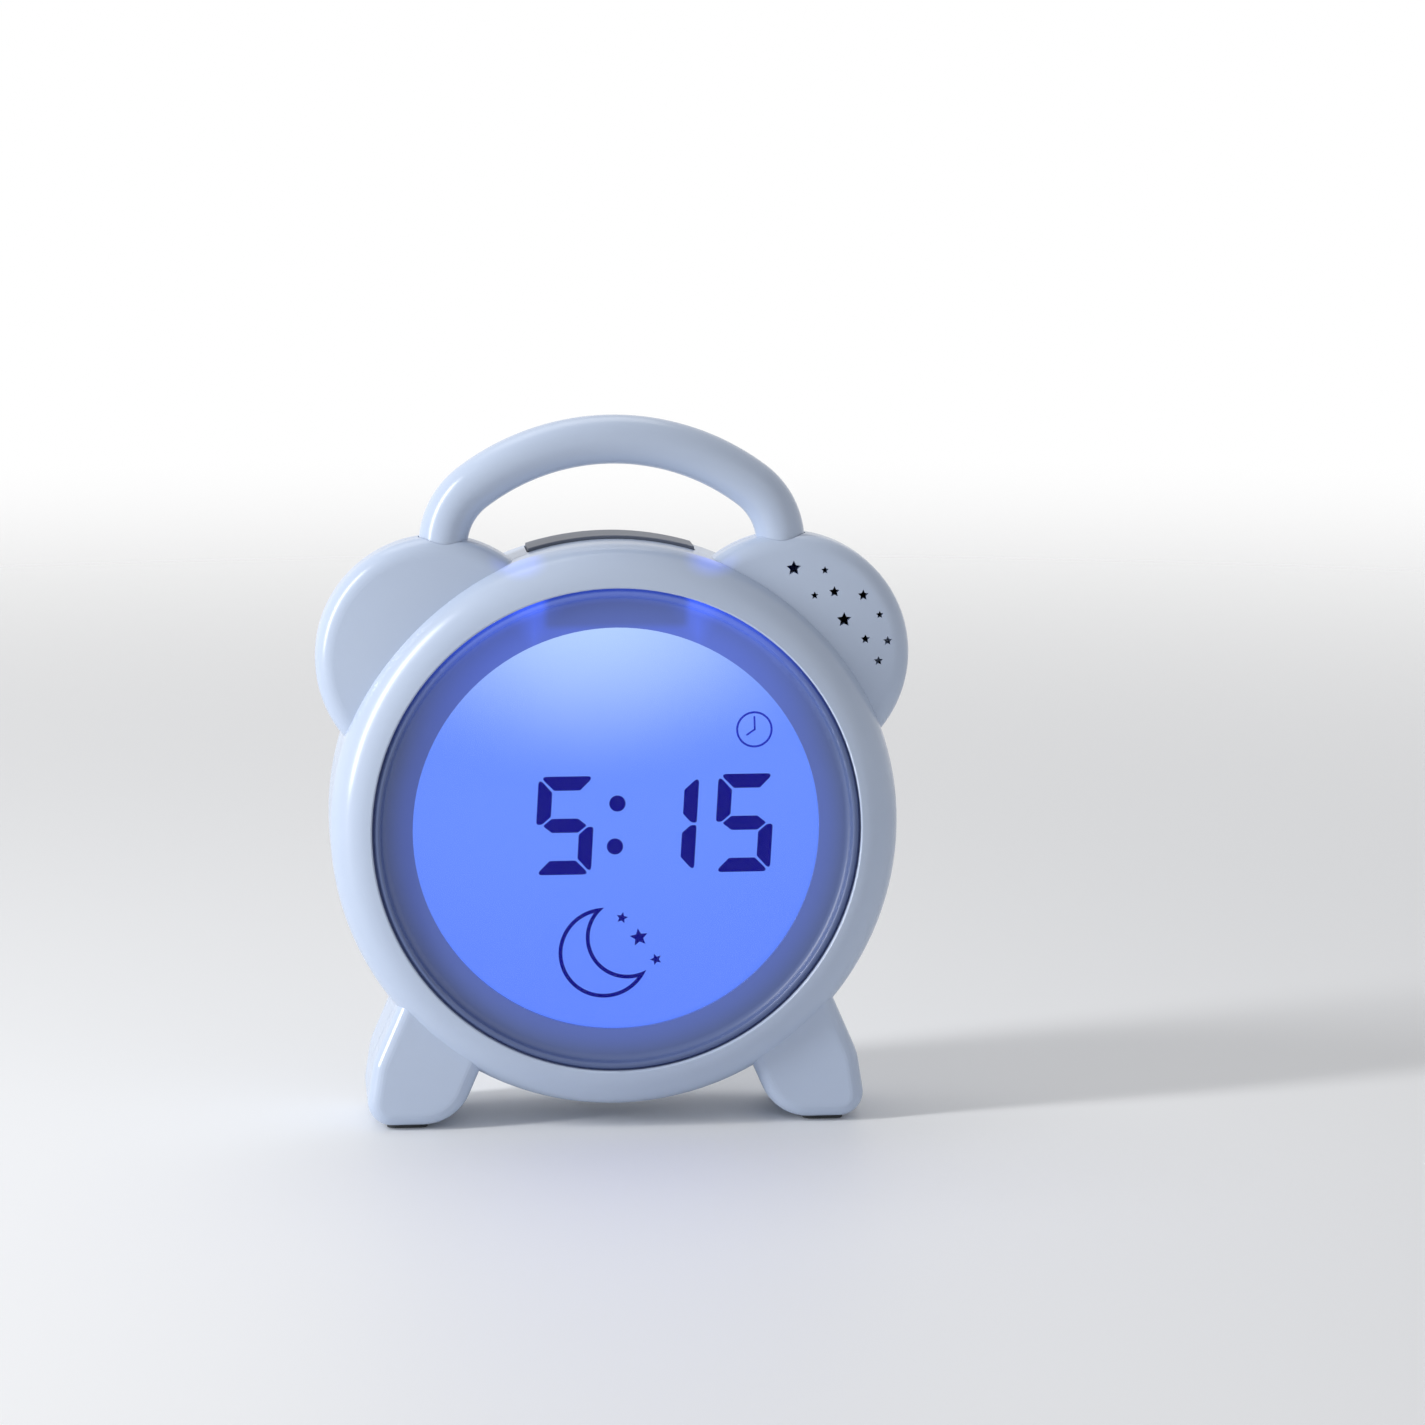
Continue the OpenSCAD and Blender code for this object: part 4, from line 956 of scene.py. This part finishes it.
@dataclass
class SubAssembly:
    """A group of the clock's pieces that are dressed together."""

    nodes: Sequence[str] = ()
    made: list[Piece] = field(default_factory=list)

    def build(self) -> None:
        """Models the pieces that this sub-assembly adds; most add none."""

    def dress(self) -> None:
        """Gives every solid of the sub-assembly the finish of its own slot."""
        slots = {row["node"]: row["material_slot"] for row in frame["record"]["subparts"]}
        for name in self.nodes:
            finish(frame["nodes"][name], FINISHES[slots[name]])

    def keep(self, piece: Piece, look: Finish, slot: str, body: str = "case") -> None:
        """Finishes an added piece and lets it ride on its body.

        Args:
            piece: The piece, in place.
            look: Its finish.
            slot: Names a material slot of the record; not used.
            body: The body it moves with.
        """
        finish(piece, look)
        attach(piece, body)
        self.made.append(piece)


def finish(piece: Piece, look: Finish) -> None:
    """Puts one material on the whole of a piece."""
    piece.data.materials.clear()
    piece.data.materials.append(look.material())


@dataclass
class Drawn(SubAssembly):
    """Flat figures that lie on a face of the clock, with the ways to draw them."""

    surface: float = 0.0
    film: float = 0.1 * MM
    line_end: float = 0.46
    slot: str = "shell_white"

    def plate(self, piece: Piece, look: Finish) -> None:
        """Lays a flat piece drawn about z 0 on its face and keeps it.

        Args:
            piece: The drawn figure.
            look: Its finish.
        """
        move(piece, (0, 0, self.surface))
        self.keep(stand_on_dial(piece), look, self.slot)

    def spot(self, name: str, centre: Spot, radius: float, sides: int = 64) -> Piece:
        """A filled round spot.

        Args:
            name: Name of the piece.
            centre: Its centre on the dial.
            radius: Its radius.
            sides: Number of sides of the circle.

        Returns:
            The spot.
        """
        return disc(name, radius * MM, self.film, (centre[0] * MM, centre[1] * MM, 0), sides)

    def stroke_line(self, start: Spot, end: Spot, width: float) -> Piece:
        """A straight line with round ends.

        Args:
            start, end: Its ends on the dial.
            width: Its width.

        Returns:
            The line.
        """
        a, b = Vector(start) * MM, Vector(end) * MM
        run = b - a
        piece = block("line", (run.length + width * MM, width * MM, self.film))
        round_corners(piece, width * self.line_end * MM, 4)
        middle = (a + b) / 2
        return move(piece, (middle.x, middle.y, 0), math.degrees(math.atan2(run.y, run.x)))

    def hoop(self, name: str, centre: Spot, radius: float, width: float) -> Piece:
        """A thin ring.

        Args:
            name: Name of the piece.
            centre: Its centre on the dial.
            radius: Its outer radius.
            width: Width of its line.

        Returns:
            The ring.
        """
        outer = self.spot(name, centre, radius, 96)
        return cut_out(outer, self.spot("hole", centre, radius - width, 96))

    def crescent(
        self, name: str, centre: Spot, radius: float, bite: Spot, bite_r: float
    ) -> Piece:
        """A filled crescent: a disc with a round bite.

        Args:
            name: Name of the piece.
            centre: Centre of its outer circle.
            radius: Radius of its outer circle.
            bite: Centre of the bite, from the outer circle's centre.
            bite_r: Radius of the bite.

        Returns:
            The crescent.
        """
        body = self.spot(name, centre, radius, 128)
        bite_at = (centre[0] + bite[0], centre[1] + bite[1])
        return cut_out(body, self.spot("bite", bite_at, bite_r, 128))


@dataclass
class Artwork(Drawn):
    """Digits and symbols of the display, lying on the cell's front glass."""

    surface: float = 9.27 * MM
    slot: str = "display_blue"
    lean: float = 3.3
    middle_up: float = 0.70
    width: float = 14.1
    height: float = 24.5
    stroke: float = 3.5
    gap: float = 0.36
    overlap: float = 1.1
    shy: float = 0.3
    middle_extra: float = 0.2
    point_slope: float = 0.8
    tip_cut: float = 1.7
    point_cut: float = 0.4
    blunt_cut: float = 0.55
    corner_cut: float = 0.14
    digits: Sequence[tuple[str, float, str]] = (
        ("display_hours", -12.6, "afgcd"), ("display_tens", 12.85, "bc"),
        ("display_units", 31.7, "afgcd"),
    )
    dots: Sequence[Spot] = ((0.36, 6.03), (-0.28, -4.68))
    dot_r: float = 2.0
    clock: Spot = (34.15, 23.95)
    clock_r: float = 4.5
    clock_line: float = 0.5
    hand_line: float = 0.44
    night: Spot = (-3.0, -31.3)
    night_r: float = 11.3
    night_line: float = 0.95
    night_bite: Spot = (0.52, 0.34)
    night_bite_r: float = 0.84
    stars: Sequence[tuple[Spot, float, float]] = (
        ((5.6, -27.6), 2.3, 8.0), ((1.4, -22.6), 1.5, -12.0), ((9.8, -33.2), 1.5, 20.0),
    )
    star_waist: float = 0.45

    def bar(self, length: float, pointed: bool, blunt: int) -> Piece:
        """One bar of a digit, lying along x with its outer side up, and longest there.

        Args:
            length: Length along its longest line.
            pointed: True for the middle bar, which has a point at each end.
            blunt: The end, -1 or 1, that stops short of the middle bar, or 0 for none.

        Returns:
            The bar, centred on the origin.
        """
        half, side = length / 2 * MM, self.stroke / 2 * MM
        stop, near = half - self.shy * MM, 0.05 * MM
        piece = block("bar", (2 * half + 4 * side, 2 * side, self.film))
        for end in (-1, 1):
            if pointed:
                for up in (-1, 1):
                    cut_away(piece, (end * half, 0, 0), (self.point_slope * end, up, 0))
            elif end == blunt:
                cut_away(piece, (end * (half + self.overlap * MM), side, 0), (end, -1, 0))
                cut_away(piece, (end * stop, 0, 0), (end, 0, 0))
            else:
                cut_away(piece, (end * half, side, 0), (end, -1, 0))
        end_cut = self.point_cut if pointed else self.tip_cut
        round_corners(piece, self.corner_cut * MM, 2,
                      lambda middle: (abs(middle.y) if pointed else -middle.y) > side - near)
        round_corners(piece, end_cut * MM, 6, lambda middle: abs(middle.x) > half - near)
        round_corners(piece, self.blunt_cut * MM, 6,
                      lambda middle: blunt * middle.x > stop - near)
        return piece

    def digit(self, name: str, centre_x: float, bars: str) -> Piece:
        """One digit made of bars.

        Args:
            name: Name of the piece.
            centre_x: Middle of the digit across the dial.
            bars: Which bars are lit, by their usual letters a to g.

        Returns:
            The digit.
        """
        reach_x = self.width / 2 - self.stroke / 2
        reach_y = self.height / 2 - self.stroke / 2
        flat = self.width - 2 * self.gap
        tall = self.height / 2 - self.gap
        slope = math.tan(math.radians(self.lean))
        layout = {
            "a": (0.0, reach_y, 0.0, flat, 0),
            "d": (0.0, -reach_y, 180.0, flat, 0),
            "g": (0.0, 0.0, 0.0, self.width - self.stroke + self.middle_extra, 0),
            "f": (-reach_x, tall / 2, 90.0, tall, -1),
            "e": (-reach_x, -tall / 2, 90.0, tall, 1),
            "b": (reach_x, tall / 2, -90.0, tall, 1),
            "c": (reach_x, -tall / 2, -90.0, tall, -1),
        }
        pieces = []
        for key in bars:
            x, y, turn, length, blunt = layout[key]
            piece = self.bar(length, key == "g", blunt)
            lean = -self.lean if abs(turn) == 90.0 else 0.0
            place = ((centre_x + x + y * slope) * MM, (self.middle_up + y) * MM, 0)
            pieces.append(move(piece, place, turn + lean))
        return joined(name, pieces)

    def clock_symbol(self) -> Piece:
        """A clock face with two hands that meet a little right of its middle."""
        x, up = self.clock
        return joined("clock_symbol", [
            self.hoop("symbol", self.clock, self.clock_r, self.clock_line),
            self.stroke_line((x, up + 3.1), (x + 0.1, up), self.hand_line),
            self.stroke_line((x + 0.1, up), (x - 1.8, up - 1.3), self.hand_line),
        ])

    def night_symbol(self) -> Piece:
        """The outline of a crescent that opens to the upper right."""
        radius, line = self.night_r, self.night_line
        bite = (radius * self.night_bite[0], radius * self.night_bite[1])
        bite_r = radius * self.night_bite_r
        body = self.crescent("night_symbol", self.night, radius, bite, bite_r)
        core = self.crescent("core", self.night, radius - line, bite, bite_r + line)
        return cut_out(body, core)

    def star(self, name: str, centre: Spot, radius: float, turn: float) -> Piece:
        """A five-pointed star.

        Args:
            name: Name of the piece.
            centre: Its centre on the dial.
            radius: Distance of its points.
            turn: Turn in degrees.

        Returns:
            The star.
        """
        points = 5
        step = 360.0 / points
        piece = self.spot(name, (0, 0), radius, 2 * points)

        def between(middle: Vector, way: Vector) -> bool:
            """True for every second corner."""
            angle = math.degrees(math.atan2(middle.x, middle.y)) % step
            return abs(angle - step / 2) < step / 12

        pick(piece, Pick.VERTEX, between)
        bpy.ops.transform.resize(
            value=(self.star_waist, self.star_waist, 1.0), center_override=(0, 0, 0)
        )
        bpy.ops.object.mode_set(mode="OBJECT")
        return move(piece, (centre[0] * MM, centre[1] * MM, 0), turn)

    def build(self) -> None:
        """Builds the time, the clock symbol and the night symbol."""
        for name, centre_x, bars in self.digits:
            self.plate(self.digit(name, centre_x, bars), INK)
        dots = [self.spot("dot", place, self.dot_r) for place in self.dots]
        self.plate(joined("display_colon", dots), INK)
        self.plate(self.clock_symbol(), FINE_INK)
        self.plate(self.night_symbol(), INK)
        for index, (centre, radius, turn) in enumerate(self.stars):
            self.plate(self.star(f"night_star_{index + 1}", centre, radius, turn), INK)


@dataclass
class BackPrint(Drawn):
    """Small symbols printed on the back beside the controls."""

    surface: float = -28.54 * MM
    buttons: Sequence[float] = (-33.0, -17.0, -1.0, 15.0)
    symbol_up: float = 38.3
    symbol_r: float = 1.8
    line: float = 0.38
    slider_up: float = 44.0
    inlet: Spot = (38.0, 39.6)

    def clock_face(self, name: str, x: float, hand: Spot) -> Piece:
        """A ring with one hand.

        Args:
            name: Name of the piece.
            x: Its place across the dial.
            hand: End of the hand, from the ring's centre.

        Returns:
            The symbol.
        """
        centre = (x, self.symbol_up)
        end = (x + hand[0], self.symbol_up + hand[1])
        return joined(name, [
            self.hoop(name, centre, self.symbol_r, self.line),
            self.stroke_line(centre, end, self.line),
        ])

    def bell(self, name: str, x: float) -> Piece:
        """A small bell with its rim and clapper."""
        size, top_cut, rim_half, clapper_r = 2.3 * MM, 1.05 * MM, 1.6, 0.36
        up, middle_up = self.symbol_up, (self.symbol_up + 0.5) * MM
        body = block("bell", (size, size, self.film), (x * MM, middle_up, 0))
        round_corners(body, top_cut, 5, lambda middle: middle.y > middle_up)
        return joined(name, [
            body,
            self.stroke_line((x - rim_half, up - 0.95), (x + rim_half, up - 0.95), self.line),
            self.spot("clapper", (x, up - 1.55), clapper_r, 32),
        ])

    def levels(self, name: str, x: float, count: int) -> Piece:
        """Upright lines that grow in height and stand for loudness."""
        pitch, foot, head, growth = 0.95, 1.2, 0.6, 0.9
        return joined(name, [
            self.stroke_line(
                (x - index * pitch, self.slider_up - foot),
                (x - index * pitch, self.slider_up - head + index * growth),
                self.line,
            )
            for index in range(count)
        ])

    def inlet_mark(self, name: str) -> Piece:
        """A pin inside an open ring with a lead to each side."""
        ring_r, pin_r, lead_from, lead_to = 1.5, 0.55, 1.9, 3.2
        x, up = self.inlet
        return joined(name, [
            self.hoop(name, self.inlet, ring_r, self.line),
            self.spot("pin", self.inlet, pin_r, 32),
            self.stroke_line((x - lead_to, up), (x - lead_from, up), self.line),
            self.stroke_line((x + lead_from, up), (x + lead_to, up), self.line),
        ])

    def build(self) -> None:
        """Builds one symbol for each control and the inlet."""
        mode, hour, minute, alarm = self.buttons
        for piece in (
            self.crescent("print_mode", (mode, self.symbol_up), self.symbol_r, (0.95, 0.5), 1.5),
            self.clock_face("print_hour", hour, (0.0, 0.85)),
            self.clock_face("print_minute", minute, (1.15, 0.0)),
            self.bell("print_alarm", alarm),
            self.levels("print_soft", 8.6, 1),
            self.levels("print_loud", -8.0, 3),
            self.inlet_mark("print_inlet"),
        ):
            self.plate(piece, PRINT)


@dataclass
class Housing(SubAssembly):
    """The two mouldings, the carrying handle, the foot pads and their screws."""

    nodes: Sequence[str] = (
        "front_shell", "rear_shell", "carry_handle", "housing_screws", "foot_pads",
    )


@dataclass
class Dial(SubAssembly):
    """Bezel, lens, display cell, light guide and the frame that holds them."""

    nodes: Sequence[str] = (
        "inner_bezel", "lens", "lcd_glass_front", "lcd_glass_back", "light_guide",
        "display_frame", "zebra_strip", "frame_screws",
    )


@dataclass
class Boards(SubAssembly):
    """Circuit boards with their components, lamps and the flat cable."""

    nodes: Sequence[str] = (
        "main_board", "controller_chip", "crystal", "capacitors", "light_board", "blue_leds",
        "key_board", "ribbon_cable",
    )


@dataclass
class Controls(SubAssembly):
    """Push bar, rear buttons, slide switch and their switches."""

    nodes: Sequence[str] = (
        "push_bar", "bar_switch", "mode_button", "hour_button", "minute_button",
        "alarm_button", "key_switches", "slide_switch", "slider_knob",
    )


@dataclass
class Power(SubAssembly):
    """Cells, contacts, battery door and the mains inlet."""

    nodes: Sequence[str] = (
        "batteries", "contact_springs", "contact_plates", "battery_door", "door_screw",
        "dc_jack", "jack_pin",
    )


@dataclass
class Sound(SubAssembly):
    """Loudspeaker."""

    nodes: Sequence[str] = ("speaker_frame", "speaker_cone", "speaker_magnet")


def main() -> None:
    """Builds the view, the studio and the clock's looks."""
    logging.basicConfig(level=logging.INFO, format="%(name)s: %(message)s")
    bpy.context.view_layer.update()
    Viewpoint().build()
    Studio().build()
    for assembly in (
        Housing(), Dial(), Artwork(), BackPrint(), Boards(), Controls(), Power(), Sound()
    ):
        assembly.build()
        assembly.dress()
        for name in assembly.nodes:
            LOG.info("%s: solid %s dressed", type(assembly).__name__, name)
        for piece in assembly.made:
            LOG.info("%s: added %s", type(assembly).__name__, piece.name)


if __name__ == "__main__":
    main()
